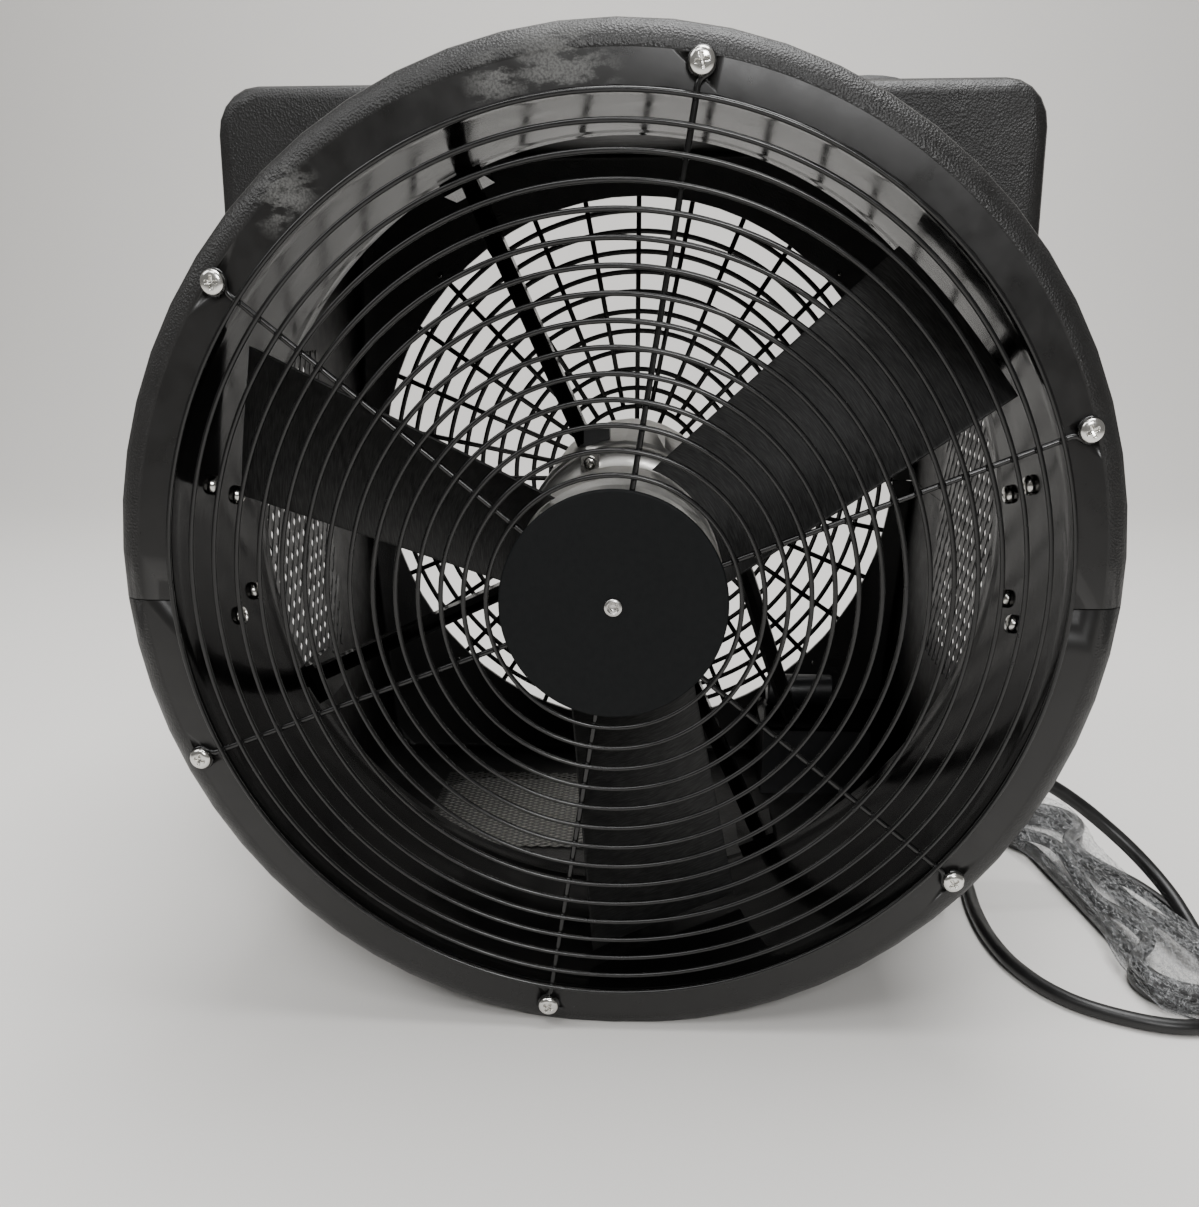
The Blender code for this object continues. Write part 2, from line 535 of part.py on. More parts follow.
def switch():
    """Rocker switch in the right wall; the rocker turns about its empty."""
    place = wall_frame(SWITCH_DEPTH, SWITCH_Z)
    body = block("switch_body", (GAP, -0.0165, -0.0135), (0.0032, 0.0165, 0.0135))
    core = block("core", (-0.018, -0.0137, -0.0107), (0.001, 0.0137, 0.0107))
    well = block("well", (-0.012, -0.0112, -0.0092), (0.02, 0.0112, 0.0092))
    carved(fused(body, core), well)
    body.data.transform(place)
    coated(body, "nylon_black")
    pivot = bpy.data.objects.new("rocker_pivot", None)
    pivot.location = place @ Vector((-0.0040, 0, 0))
    bpy.context.scene.collection.objects.link(pivot)
    bpy.context.view_layer.update()
    outline = [(-0.003, -0.0035), (0.0060, -0.0078), (0.0052, 0.0), (0.0060, 0.0078), (-0.003, 0.0035)]
    swing = Matrix.Rotation(math.radians(ROCKER_SWING), 4, "Y")
    rocker = prism("switch_rocker", outline, (-0.0106, 0.0106), swing)
    rocker.data.transform(place @ Matrix.Translation((-0.0040, 0, 0)))
    coated(hung_on(rocker, pivot), "rocker_red")





# ---------------------------------------------------------------- rotor
def blade_mesh(name, degrees):
    """Cambered sheet blade: straight radial stack, chord and pitch vary from root to tip."""
    rows, columns = 7, 9
    turn = Matrix.Translation((0, 0, AXIS_Z)) @ Matrix.Rotation(-math.radians(degrees), 4, "Y")
    skins = []
    for side in (-0.5, 0.5):
        skin = []
        for i in range(rows):
            share = i / (rows - 1)
            chord = CHORD_ROOT + (CHORD_TIP - CHORD_ROOT) * share
            pitch = math.radians(PITCH_ROOT + (PITCH_TIP - PITCH_ROOT) * share)
            for k in range(columns):
                across = k / (columns - 1) - 0.5
                bow = BLADE_CAMBER * chord * (1 - 4 * across * across) + side * BLADE_THICK
                swing = across * chord * math.cos(pitch) - bow * math.sin(pitch)
                depth = BLADE_DEPTH + across * chord * math.sin(pitch) + bow * math.cos(pitch)
                root = math.sqrt(max((HUB_R + GAP) ** 2 - swing ** 2, 0.0)) + 0.0003
                tip = math.sqrt(BLADE_TIP ** 2 - swing ** 2)
                skin.append(turn @ Vector((root + (tip - root) * share, at(depth), swing)))
        skins.append(skin)
    verts = skins[0] + skins[1]
    layer, faces = rows * columns, []
    for i in range(rows - 1):
        for k in range(columns - 1):
            quad = (i * columns + k, i * columns + k + 1, (i + 1) * columns + k + 1, (i + 1) * columns + k)
            faces += [quad, tuple(layer + v for v in reversed(quad))]
    rim = [k for k in range(columns)] + [i * columns + columns - 1 for i in range(1, rows)]
    rim += [(rows - 1) * columns + k for k in range(columns - 2, -1, -1)]
    rim += [i * columns for i in range(rows - 2, 0, -1)]
    for a, b in zip(rim, rim[1:] + rim[:1]):
        faces.append((a, b, layer + b, layer + a))
    return new_object(name, verts, faces)


def rotor():
    """Hub drum, three blades, shaft and nut on one axis."""
    pivot = bpy.data.objects.new("rotor_pivot", None)
    pivot.location = (0, at(HUB_FRONT), AXIS_Z)
    bpy.context.scene.collection.objects.link(pivot)
    bore = SHAFT_R + 0.0002
    drum = fan_ring("hub", [(HUB_FRONT, bore), (HUB_FRONT, HUB_R - 0.003), (HUB_FRONT + 0.003, HUB_R),
                            (HUB_REAR, HUB_R), (HUB_REAR, HUB_R - HUB_SHEET), (HUB_FRONT + 0.006, HUB_R - HUB_SHEET),
                            (HUB_FRONT + 0.004, 0.020), (HUB_REAR - 0.008, 0.016), (HUB_REAR - 0.008, bore)], sides=48)
    coated(hung_on(drum, pivot), "cast_aluminium")
    for k in range(BLADE_COUNT):
        blade = blade_mesh(f"blade_{k + 1}", BLADE_FIRST + 360 / BLADE_COUNT * k)
        coated(hung_on(blade, pivot), "blade_black")
    shaft = fan_ring("shaft", [(SHAFT_FRONT, SHAFT_R - 0.001), (SHAFT_FRONT + 0.001, SHAFT_R),
                               (MOTOR_FRONT + 0.039, SHAFT_R)], closed=False, sides=16)
    coated(hung_on(shaft, pivot), "steel")
    nut = fan_ring("hub_nut", [(HUB_FRONT - GAP, bore), (HUB_FRONT - GAP, 0.013), (HUB_FRONT - 0.007, 0.013),
                               (HUB_FRONT - 0.007, bore)], sides=6)
    widen = fan_ring("widen", [(0.0, bore + 0.0004), (0.06, bore + 0.0004)], closed=False, sides=16)
    coated(hung_on(carved(nut, widen), pivot), "zinc")


# ---------------------------------------------------------------- rear guard
def rear_screw_circle():
    return sum(REAR_RIM) / 2


def rear_screw_angles():
    return [45.0 + 90.0 * k for k in range(4)]


def rear_guard():
    """Flat grille of concentric rings and radial bars, cut from one sheet."""
    half = REAR_BAR / 2
    edges = [REAR_DISC] + [edge for ring in REAR_RINGS for edge in (ring - half, ring + half)] + list(REAR_RIM)
    verts, faces, index = [], [], {}
    for layer in (0, 1):
        for e, radius in enumerate(edges):
            for k in range(REAR_BARS):
                for side in (-1, 1):
                    degrees = 90 + 360 / REAR_BARS * k + side * math.degrees(half / radius)
                    index[layer, e, k, side] = len(verts)
                    verts.append(polar(radius, degrees, REAR_GUARD_DEPTH + layer * REAR_GUARD_THICK))
    for layer in (0, 1):
        faces.append(tuple(index[layer, 0, k, side] for k in range(REAR_BARS) for side in (-1, 1)))
        for e in range(len(edges) - 1):
            for k in range(REAR_BARS):
                near = (k + 1) % REAR_BARS
                faces.append((index[layer, e, k, -1], index[layer, e, k, 1], index[layer, e + 1, k, 1],
                              index[layer, e + 1, k, -1]))
                if e % 2:
                    faces.append((index[layer, e, k, 1], index[layer, e, near, -1], index[layer, e + 1, near, -1],
                                  index[layer, e + 1, k, 1]))
    for k in range(REAR_BARS):
        near = (k + 1) % REAR_BARS
        for e in range(len(edges)):
            faces.append((index[0, e, k, 1], index[0, e, near, -1], index[1, e, near, -1], index[1, e, k, 1]))
            if e == len(edges) - 1:
                faces.append((index[0, e, k, -1], index[0, e, k, 1], index[1, e, k, 1], index[1, e, k, -1]))
            elif e % 2 == 0:
                for side in (-1, 1):
                    faces.append((index[0, e, k, side], index[0, e + 1, k, side], index[1, e + 1, k, side],
                                  index[1, e, k, side]))
    grille = new_object("rear_guard", verts, faces)
    holes = [turned("hole", [(-0.01, 0.0022), (0.01, 0.0022)], polar(rear_screw_circle(), a, REAR_GUARD_DEPTH),
                    (0, 1, 0), 8, False) for a in rear_screw_angles()]
    coated(carved(grille, joined("holes", holes)), "wire_black")
    for number, degrees in enumerate(rear_screw_angles(), 1):
        seat = polar(rear_screw_circle(), degrees, REAR_GUARD_DEPTH + REAR_GUARD_THICK + GAP)
        screw(f"rear_screw_{number}", seat, (0, -1, 0), 0.0040, 0.0026, 0.0018, 0.012, "zinc")


# ---------------------------------------------------------------- cord
def smooth_route(points, step):
    """Points about a step apart on the curve through the given points, its ends left straight."""
    padded = [2 * points[0] - points[1]] + list(points) + [2 * points[-1] - points[-2]]
    dense = []
    for i in range(1, len(padded) - 2):
        a, b, c, d = padded[i - 1:i + 3]
        for k in range(24):
            t = k / 24
            dense.append(0.5 * (2 * b + (c - a) * t + (2 * a - 5 * b + 4 * c - d) * t * t
                                + (3 * b - a - 3 * c + d) * t * t * t))
    dense.append(points[-1].copy())
    total = sum((q - p).length for p, q in zip(dense, dense[1:]))
    count = max(round(total / step), 2)
    route, walked, target = [dense[0]], 0.0, total / count
    for p, q in zip(dense, dense[1:]):
        length = (q - p).length
        while target <= walked + length and len(route) < count:
            route.append(p.lerp(q, (target - walked) / length))
            target += total / count
        walked += length
    stub = 0.003
    return ([route[0], route[0] + (dense[1] - dense[0]).normalized() * stub] + route[1:]
            + [dense[-1] + (dense[-2] - dense[-1]).normalized() * stub, dense[-1]])


def cable(name, points, radius, resolution, slot, step):
    """Round cable as a bevelled poly curve with filled caps."""
    route = smooth_route(points, step)
    curve = bpy.data.curves.new(name, "CURVE")
    curve.dimensions = "3D"
    curve.bevel_depth = radius
    curve.bevel_resolution = resolution
    curve.use_fill_caps = True
    spline = curve.splines.new("POLY")
    spline.points.add(len(route) - 1)
    for point, place in zip(spline.points, route):
        point.co = (*place, 1.0)
    made = bpy.data.objects.new(name, curve)
    bpy.context.scene.collection.objects.link(made)
    coated(made, slot)


def beside_hank(along, across, height):
    """World point in the hank's own plan: along its run and to its right."""
    run, start = Vector((*HANK_RUN, 0)), Vector((*HANK_START, 0))
    return start + run * along + Vector((-run.y, run.x, 0)) * across + Vector((0, 0, height))


def feed_points():
    """From the gland down in a free arc to the step in the hank's side."""
    frame = wall_frame(GLAND_DEPTH, GLAND_Z)
    air = [(0.294, -0.0535, 0.0850), (0.3165, -0.0505, 0.0715), (0.335, -0.0530, 0.0585), (0.352, -0.0610, 0.0440),
           (0.3700, -0.0715, 0.0310), (0.3742, -0.0930, 0.0235)]
    return ([frame @ Vector((GLAND_REACH + GAP, 0, 0)), frame @ Vector((GLAND_REACH + 0.012, 0, 0))]
            + [Vector(p) for p in air]
            + [beside_hank(HANK_STEP - GAP - back, FEED_SIDE, 0.0190) for back in (0.006, 0.0)])


def lead_points(plug_end, forward):
    """From the hank's front end round on the floor and back beside the box to the plug."""
    floor = [(0.3740, -0.2115), (0.3600, -0.2256), (0.3410, -0.2310), (0.3200, -0.2280),
             (0.2990, -0.2200), (0.2800, -0.2070), (0.2670, -0.1910), (0.2570, -0.1740), (0.2500, -0.1520),
             (0.2455, -0.1190), (0.2455, -0.0850), (0.2490, -0.0520), (0.2525, -0.0150), (0.2535, 0.0300),
             (0.2540, 0.0750)]
    return ([beside_hank(HANK_LENGTH + GAP + on, LEAD_SIDE, CORD_FLOOR) for on in (0.0, 0.006)]
            + [Vector((x, y, CORD_FLOOR)) for x, y in floor]
            + [plug_end - forward * 0.030 - Vector((0, 0, 0.0040))]
            + [plug_end - forward * back for back in (0.007, GAP)])


def hank_outline():
    """Plan of the hank: round rear end, square front end, a step where the feed joins its side."""
    points = []
    for k in range(9):
        turn = math.radians(90 + 22.5 * k)
        points.append((HANK_HALF + HANK_HALF * math.cos(turn), HANK_HALF * math.sin(turn)))
    for k in range(5):
        turn = math.radians(-90 + 22.5 * k)
        points.append((HANK_LENGTH - 0.012 + 0.012 * math.cos(turn), -HANK_HALF + 0.012 + 0.012 * math.sin(turn)))
    points += [(HANK_LENGTH, HANK_WIDE - 0.003), (HANK_LENGTH - 0.003, HANK_WIDE), (HANK_STEP, HANK_WIDE),
               (HANK_STEP, HANK_HALF)]
    return [beside_hank(along, across, 0.0) for along, across in points]


def cord():
    """Gland, feed, hank, the short lead to the plug, and the plug with its three blades."""
    place = wall_frame(GLAND_DEPTH, GLAND_Z)
    profile = [(-0.014, 0.0078), (GAP, 0.0078), (GAP, 0.0105), (0.0035, 0.0105), (0.0045, 0.0085),
               (GLAND_REACH, 0.0062)]
    coated(turned("cord_gland", profile, place.translation, place.to_3x3() @ Vector((1, 0, 0)), 16, False),
           "nylon_black")
    cable("cord_feed", feed_points(), CORD_R, 2, "cord_rubber", 0.020)
    outline = hank_outline()
    count = len(outline)
    verts = [(p.x, p.y, z) for z in (GAP, HANK_TALL) for p in outline]
    faces = [(k, (k + 1) % count, count + (k + 1) % count, count + k) for k in range(count)]
    faces += [tuple(range(count)), tuple(range(count, 2 * count))]
    coated(new_object("cord_hank", verts, faces), "cord_rubber")
    plug_end = Vector((*PLUG_PLACE, PLUG_TALL / 2 + GAP))
    heading = math.radians(PLUG_HEADING)
    forward = Vector((math.cos(heading), math.sin(heading), 0))
    cable("cord_lead", lead_points(plug_end, forward), CORD_R, 2, "cord_rubber", 0.020)
    stand = Matrix.Translation(plug_end) @ Matrix.Rotation(heading - math.pi / 2, 4, "Z")
    plug = prism("plug_body", rounded(PLUG_WIDTH / 2, PLUG_TALL / 2, 0.007, 4), (0.0, PLUG_LENGTH), stand)
    coated(plug, "nylon_black")
    for name, x, z, half_x, half_z in (("plug_pin_line", -0.00635, -0.0025, 0.00075, 0.00315),
                                       ("plug_pin_neutral", 0.00635, -0.0025, 0.00075, 0.00315),
                                       ("plug_pin_ground", 0.0, 0.0068, 0.0024, 0.0024)):
        pin = block(name, (x - half_x, PLUG_LENGTH + GAP, z - half_z), (x + half_x, PLUG_LENGTH + 0.016, z + half_z))
        pin.data.transform(stand)
        coated(pin, "brass")


def main():
    for old in list(bpy.data.objects):
        bpy.data.objects.remove(old)
    front_guard()
    guard_centre()
    guard_screws()
    housing()
    carry_loop()
    vent_meshes()
    duct()
    motor_arms()
    motor()
    controls()
    switch()
    rotor()
    rear_guard()
    cord()


main()
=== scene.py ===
"""Finished look of a round-outlet axial blower, laid out as an add-on and run as a script.

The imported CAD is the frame: -Y is the way the air leaves, +Z is up, z = 0 is the floor, lengths are metres.
"""

import json
import math

import bmesh
import bpy
import numpy as np
from bpy.props import FloatProperty, FloatVectorProperty, IntProperty, PointerProperty
from mathutils import Matrix, Vector


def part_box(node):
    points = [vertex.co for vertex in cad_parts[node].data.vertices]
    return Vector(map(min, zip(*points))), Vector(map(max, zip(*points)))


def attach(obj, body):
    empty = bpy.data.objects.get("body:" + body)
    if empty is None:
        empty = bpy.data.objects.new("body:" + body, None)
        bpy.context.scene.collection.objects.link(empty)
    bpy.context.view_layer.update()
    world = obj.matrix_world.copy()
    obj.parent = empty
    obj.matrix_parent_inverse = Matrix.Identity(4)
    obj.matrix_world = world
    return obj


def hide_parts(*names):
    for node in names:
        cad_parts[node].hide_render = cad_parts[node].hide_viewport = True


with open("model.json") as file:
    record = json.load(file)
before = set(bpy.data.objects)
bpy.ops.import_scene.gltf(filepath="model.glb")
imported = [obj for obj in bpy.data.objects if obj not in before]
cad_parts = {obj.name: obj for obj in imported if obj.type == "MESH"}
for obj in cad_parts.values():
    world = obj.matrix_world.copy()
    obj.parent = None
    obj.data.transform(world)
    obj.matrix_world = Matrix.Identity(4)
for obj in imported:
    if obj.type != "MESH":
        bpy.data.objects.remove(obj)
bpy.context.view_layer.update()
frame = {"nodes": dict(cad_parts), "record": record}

bl_info = {
    "name": "Axial Blower",
    "version": (1, 0, 0),
    "blender": (4, 5, 0),
    "location": "View3D > Sidebar > Blower",
    "description": "Builds the finished pieces of a round-outlet axial blower on its CAD frame",
    "category": "Add Mesh",
}

WIRE = 0.0013
RING_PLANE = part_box("front_guard")[0].y + WIRE
AXIS_Z = (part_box("duct_ring")[0].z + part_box("duct_ring")[1].z) / 2
FIXED, TURNING = "blower", "rotor"


# ---------------------------------------------------------------- sizes and colours a user may change
class BlowerSizes(bpy.types.PropertyGroup):
    """Sizes of the visible pieces."""
    ring_count: IntProperty(name="Guard rings", description="Rings in the front guard", default=15, min=3)
    ring_outer: FloatProperty(name="Outer ring", description="Radius of the guard's outer ring",
                              default=0.228,
                              unit="LENGTH")
    ring_pitch: FloatProperty(name="Ring pitch", description="Distance from ring to ring", default=0.01164,
                              unit="LENGTH")
    spoke_first: FloatProperty(name="First spoke", description="Angle of the first spoke from +X",
                               default=math.radians(21), subtype="ANGLE")
    screw_circle: FloatProperty(name="Screw circle", description="Radius of the guard screws' circle",
                                default=0.241, unit="LENGTH")
    rear_pitch: FloatProperty(name="Rear ring pitch", description="Distance between the rear grille's rings",
                              default=0.015, unit="LENGTH")
    rear_bars: IntProperty(name="Rear bars", description="Radial bars in the rear grille", default=32, min=4)
    mesh_pitch: FloatProperty(name="Mesh pitch", description="Distance between the vent mesh's strands",
                              default=0.0108, unit="LENGTH")
    cord_diameter: FloatProperty(name="Cord diameter", description="Outside of the mains cord",
                                 default=0.0095,
                                 unit="LENGTH")


class BlowerColours(bpy.types.PropertyGroup):
    """Base colours of the finishes."""
    housing: FloatVectorProperty(name="Housing", description="Moulded housing", subtype="COLOR", size=3,
                                 default=(0.0085, 0.0082, 0.0080), min=0, max=1)
    enamel: FloatVectorProperty(name="Enamel", description="Duct, arms and lids", subtype="COLOR", size=3,
                                default=(0.0030, 0.0030, 0.0030), min=0, max=1)
    wire: FloatVectorProperty(name="Wire", description="Dipped wire", subtype="COLOR", size=3,
                              default=(0.0040, 0.0040, 0.0040), min=0, max=1)
    plate: FloatVectorProperty(name="Plate", description="Guard's centre plate", subtype="COLOR", size=3,
                               default=(0.0045, 0.0052, 0.0056), min=0, max=1)
    blade: FloatVectorProperty(name="Blade", description="Brushed blades", subtype="COLOR", size=3,
                               default=(0.0130, 0.0130, 0.0130), min=0, max=1)
    cord: FloatVectorProperty(name="Cord", description="Cord jacket", subtype="COLOR", size=3,
                              default=(0.0075, 0.0075, 0.0075), min=0, max=1)


class StageSettings(bpy.types.PropertyGroup):
    """Camera and light."""
    camera_place: FloatVectorProperty(name="Camera place", description="Where the camera stands", size=3,
                                      subtype="TRANSLATION", default=(0.0255, -0.8330, 0.3972))
    lens: FloatProperty(name="Lens", description="Focal length on a 36 mm sensor", default=35.425)
    rise: FloatProperty(name="Rise", description="Vertical shift of the lens", default=0.1624)
    light: FloatProperty(name="Light", description="Power of the overhead softbox in watts", default=16.0)
    floor: FloatVectorProperty(name="Floor", description="Floor and backdrop", subtype="COLOR", size=3,
                               default=(0.78, 0.765, 0.74), min=0, max=1)


def settings(name):
    """The scene's property group of that name."""
    return getattr(bpy.context.scene, name)


# ---------------------------------------------------------------- surfaces on numpy grids
def grid_faces(rows, columns, round_rows=False, round_columns=False):
    """Quads of a rows by columns grid, wrapped in either direction where it is round."""
    r = np.arange(rows if round_rows else rows - 1)[:, None]
    c = np.arange(columns if round_columns else columns - 1)[None, :]
    near, far = (r + 1) % rows, (c + 1) % columns
    quads = np.stack(np.broadcast_arrays(r * columns + c, r * columns + far, near * columns + far,
                                         near * columns + c), axis=-1)
    return quads.reshape(-1, 4)


def gathered(shapes):
    """One (points, quads) from several."""
    base, points, faces = 0, [], []
    for some, quads in shapes:
        points.append(np.asarray(some, float).reshape(-1, 3))
        faces.append(np.asarray(quads) + base)
        base += len(points[-1])
    return np.concatenate(points), np.concatenate(faces)


def piece(name, shape, finish, body=FIXED, stands_for=(), sharp=35.0, uv=None):
    """Mesh object from (points, quads): doubles merged, faces outward, smooth up to the sharp angle."""
    points, faces = shape
    mesh = bpy.data.meshes.new(name)
    mesh.from_pydata(np.asarray(points, float).reshape(-1, 3).tolist(), [], np.asarray(faces).tolist())
    if uv is not None:
        layer = mesh.uv_layers.new(name="Surface")
        corner = np.empty(len(mesh.loops), np.int32)
        mesh.loops.foreach_get("vertex_index", corner)
        layer.data.foreach_set("uv", np.asarray(uv, np.float32)[corner].ravel())
    clean = bmesh.new()
    clean.from_mesh(mesh)
    bmesh.ops.remove_doubles(clean, verts=clean.verts, dist=2e-7)
    bmesh.ops.recalc_face_normals(clean, faces=clean.faces)
    clean.to_mesh(mesh)
    clean.free()
    mesh.shade_smooth()
    mesh.set_sharp_from_angle(angle=math.radians(sharp))
    made = bpy.data.objects.new(name, mesh)
    bpy.context.scene.collection.objects.link(made)
    made.data.materials.append(finish)
    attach(made, body)
    if stands_for:
        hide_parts(*stands_for)
    return made


def refined(node, finish, body=FIXED, sharp=30.0):
    """Smooth-shaded copy of a CAD node whose shape is right."""
    source = frame["nodes"][node]
    mesh = source.data.copy()
    clean = bmesh.new()
    clean.from_mesh(mesh)
    bmesh.ops.remove_doubles(clean, verts=clean.verts, dist=1e-6)
    bmesh.ops.recalc_face_normals(clean, faces=clean.faces)
    clean.to_mesh(mesh)
    clean.free()
    mesh.normals_split_custom_set([(0.0, 0.0, 0.0)] * len(mesh.loops))
    mesh.shade_smooth()
    mesh.set_sharp_from_angle(angle=math.radians(sharp))
    made = bpy.data.objects.new(node + "_finished", mesh)
    bpy.context.scene.collection.objects.link(made)
    even = made.modifiers.new("even_shading", "WEIGHTED_NORMAL")
    even.keep_sharp, even.weight = True, 100
    made.data.materials.clear()
    made.data.materials.append(finish)
    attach(made, body)
    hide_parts(node)
    return made


def fan_polar(depth, radius, angle):
    """World points from depth behind the ring plane, radius and angle about the fan axis."""
    depth, radius, angle = np.broadcast_arrays(depth, radius, angle)
    return np.stack([radius * np.cos(angle), RING_PLANE + depth, AXIS_Z + radius * np.sin(angle)], axis=-1)


def revolved(profile, sides=192, closed=True):
    """Profile of (depth, radius) turned about the fan axis; a radius of 0 closes a pole."""
    profile = np.asarray(profile, float)
    turn = np.linspace(0, 2 * np.pi, sides, endpoint=False)
    points = fan_polar(profile[:, None, 0], np.maximum(profile[:, None, 1], 1e-9), turn[None, :])
    return points, grid_faces(len(profile), sides, round_rows=closed, round_columns=True)


def rounded_profile(corners, radius=0.0006, steps=3):
    """Closed (depth, radius) outline with each corner cut back to a small arc (quadratic curve)."""
    corners = np.asarray(corners, float)
    before, after = np.roll(corners, 1, axis=0), np.roll(corners, -1, axis=0)
    reach_in = np.minimum(radius, 0.45 * np.linalg.norm(before - corners, axis=1))[:, None]
    reach_out = np.minimum(radius, 0.45 * np.linalg.norm(after - corners, axis=1))[:, None]
    start = corners + (before - corners) / np.linalg.norm(before - corners, axis=1)[:, None] * reach_in
    end = corners + (after - corners) / np.linalg.norm(after - corners, axis=1)[:, None] * reach_out
    t = np.linspace(0, 1, steps + 1)[None, :, None]
    arc = (1 - t) ** 2 * start[:, None] + 2 * t * (1 - t) * corners[:, None] + t ** 2 * end[:, None]
    return arc.reshape(-1, 2)


def swept(route, radius, sides=12, closed=False, upright=(0.0, 1.0, 0.0)):
    """Round wire along a route that stays square to the upright direction; ends closed to points."""
    route = np.asarray(route, float)
    if closed:
        ahead = np.roll(route, -1, axis=0) - np.roll(route, 1, axis=0)
    else:
        ahead = np.gradient(route, axis=0)
    ahead /= np.linalg.norm(ahead, axis=1)[:, None]
    up = np.asarray(upright, float)
    side = np.cross(ahead, up)
    side /= np.linalg.norm(side, axis=1)[:, None]
    up = np.cross(side, ahead)
    turn = np.linspace(0, 2 * np.pi, sides, endpoint=False)
    radius = np.broadcast_to(np.asarray(radius, float), len(route))[:, None, None]
    ring = (side[:, None] * np.cos(turn)[None, :, None] + up[:, None] * np.sin(turn)[None, :, None]) * radius
    points = route[:, None] + ring
    if not closed:
        first, last = route[:1, None] + ring[:1] * 1e-4, route[-1:, None] + ring[-1:] * 1e-4
        points = np.concatenate([first, points, last])
    return points, grid_faces(len(points), sides, round_rows=closed, round_columns=True)


def placed(shape, origin, along, across=(1.0, 0.0, 0.0)):
    """Carry local (x, y, z) points to a place: local z goes along, local x lies nearest across."""
    points, faces = shape
    z = np.asarray(along, float) / np.linalg.norm(along)
    x = np.asarray(across, float) - z * np.dot(across, z)
    x /= np.linalg.norm(x)
    y = np.cross(z, x)
    points = np.asarray(points, float).reshape(-1, 3)
    return np.asarray(origin, float) + points @ np.stack([x, y, z]), faces


def turned(profile, sides=32):
    """Local solid: profile of (height, radius) turned about local z, closed at both ends."""
    profile = np.asarray(profile, float)
    profile = np.concatenate([[[profile[0, 0], 0.0]], profile, [[profile[-1, 0], 0.0]]])
    turn = np.linspace(0, 2 * np.pi, sides, endpoint=False)
    radius = np.maximum(profile[:, 1:], 1e-9)
    points = np.stack([radius * np.cos(turn), radius * np.sin(turn),
                       np.broadcast_to(profile[:, :1], (len(profile), sides))], axis=-1)
    return points, grid_faces(len(profile), sides, round_columns=True)


def slab(low, high, bevel=0.0008):
    """Local box with bevelled edges: a superellipsoid-like loft of four rounded sections."""
    low, high = np.asarray(low, float), np.asarray(high, float)
    centre, half = (low + high) / 2, (high - low) / 2
    bevel = min(bevel, 0.45 * half.min())
    turn = (np.arange(16) + 0.5) / 16 * 2 * np.pi
    corner = np.stack([np.sign(np.cos(turn)), np.sign(np.sin(turn))], axis=-1)
    rows = []
    for height, cut in ((-half[2], bevel), (-half[2] + bevel, 0), (half[2] - bevel, 0), (half[2], bevel)):
        quarter = np.stack([np.cos(turn), np.sin(turn)], axis=-1) * bevel
        outline = corner * (half[:2] - bevel) + quarter - corner * cut * 0.7
        rows.append(np.concatenate([outline, np.full((16, 1), height)], axis=1))
    rows = [np.concatenate([rows[0][:, :2] * 1e-6, rows[0][:, 2:]], axis=1)] + rows
    rows.append(np.concatenate([rows[-1][:, :2] * 1e-6, rows[-1][:, 2:]], axis=1))
    return np.stack(rows) + centre, grid_faces(6, 16, round_columns=True)


def smooth_route(points, spacing):
    """Catmull-Rom curve through given points, sampled evenly."""
    p = np.asarray(points, float)
    p = np.concatenate([[2 * p[0] - p[1]], p, [2 * p[-1] - p[-2]]])
    t = np.linspace(0, 1, 24, endpoint=False)[None, :, None]
    a, b, c, d = (p[i:len(p) - 3 + i][:, None] for i in range(4))
    dense = 0.5 * (2 * b + (c - a) * t + (2 * a - 5 * b + 4 * c - d) * t ** 2
                   + (3 * b - a - 3 * c + d) * t ** 3)
    dense = np.concatenate([dense.reshape(-1, 3), p[-2:-1]])
    walked = np.concatenate([[0], np.cumsum(np.linalg.norm(np.diff(dense, axis=0), axis=1))])
    even = np.linspace(0, walked[-1], max(int(round(walked[-1] / spacing)), 2) + 1)
    return np.stack([np.interp(even, walked, dense[:, k]) for k in range(3)], axis=1)


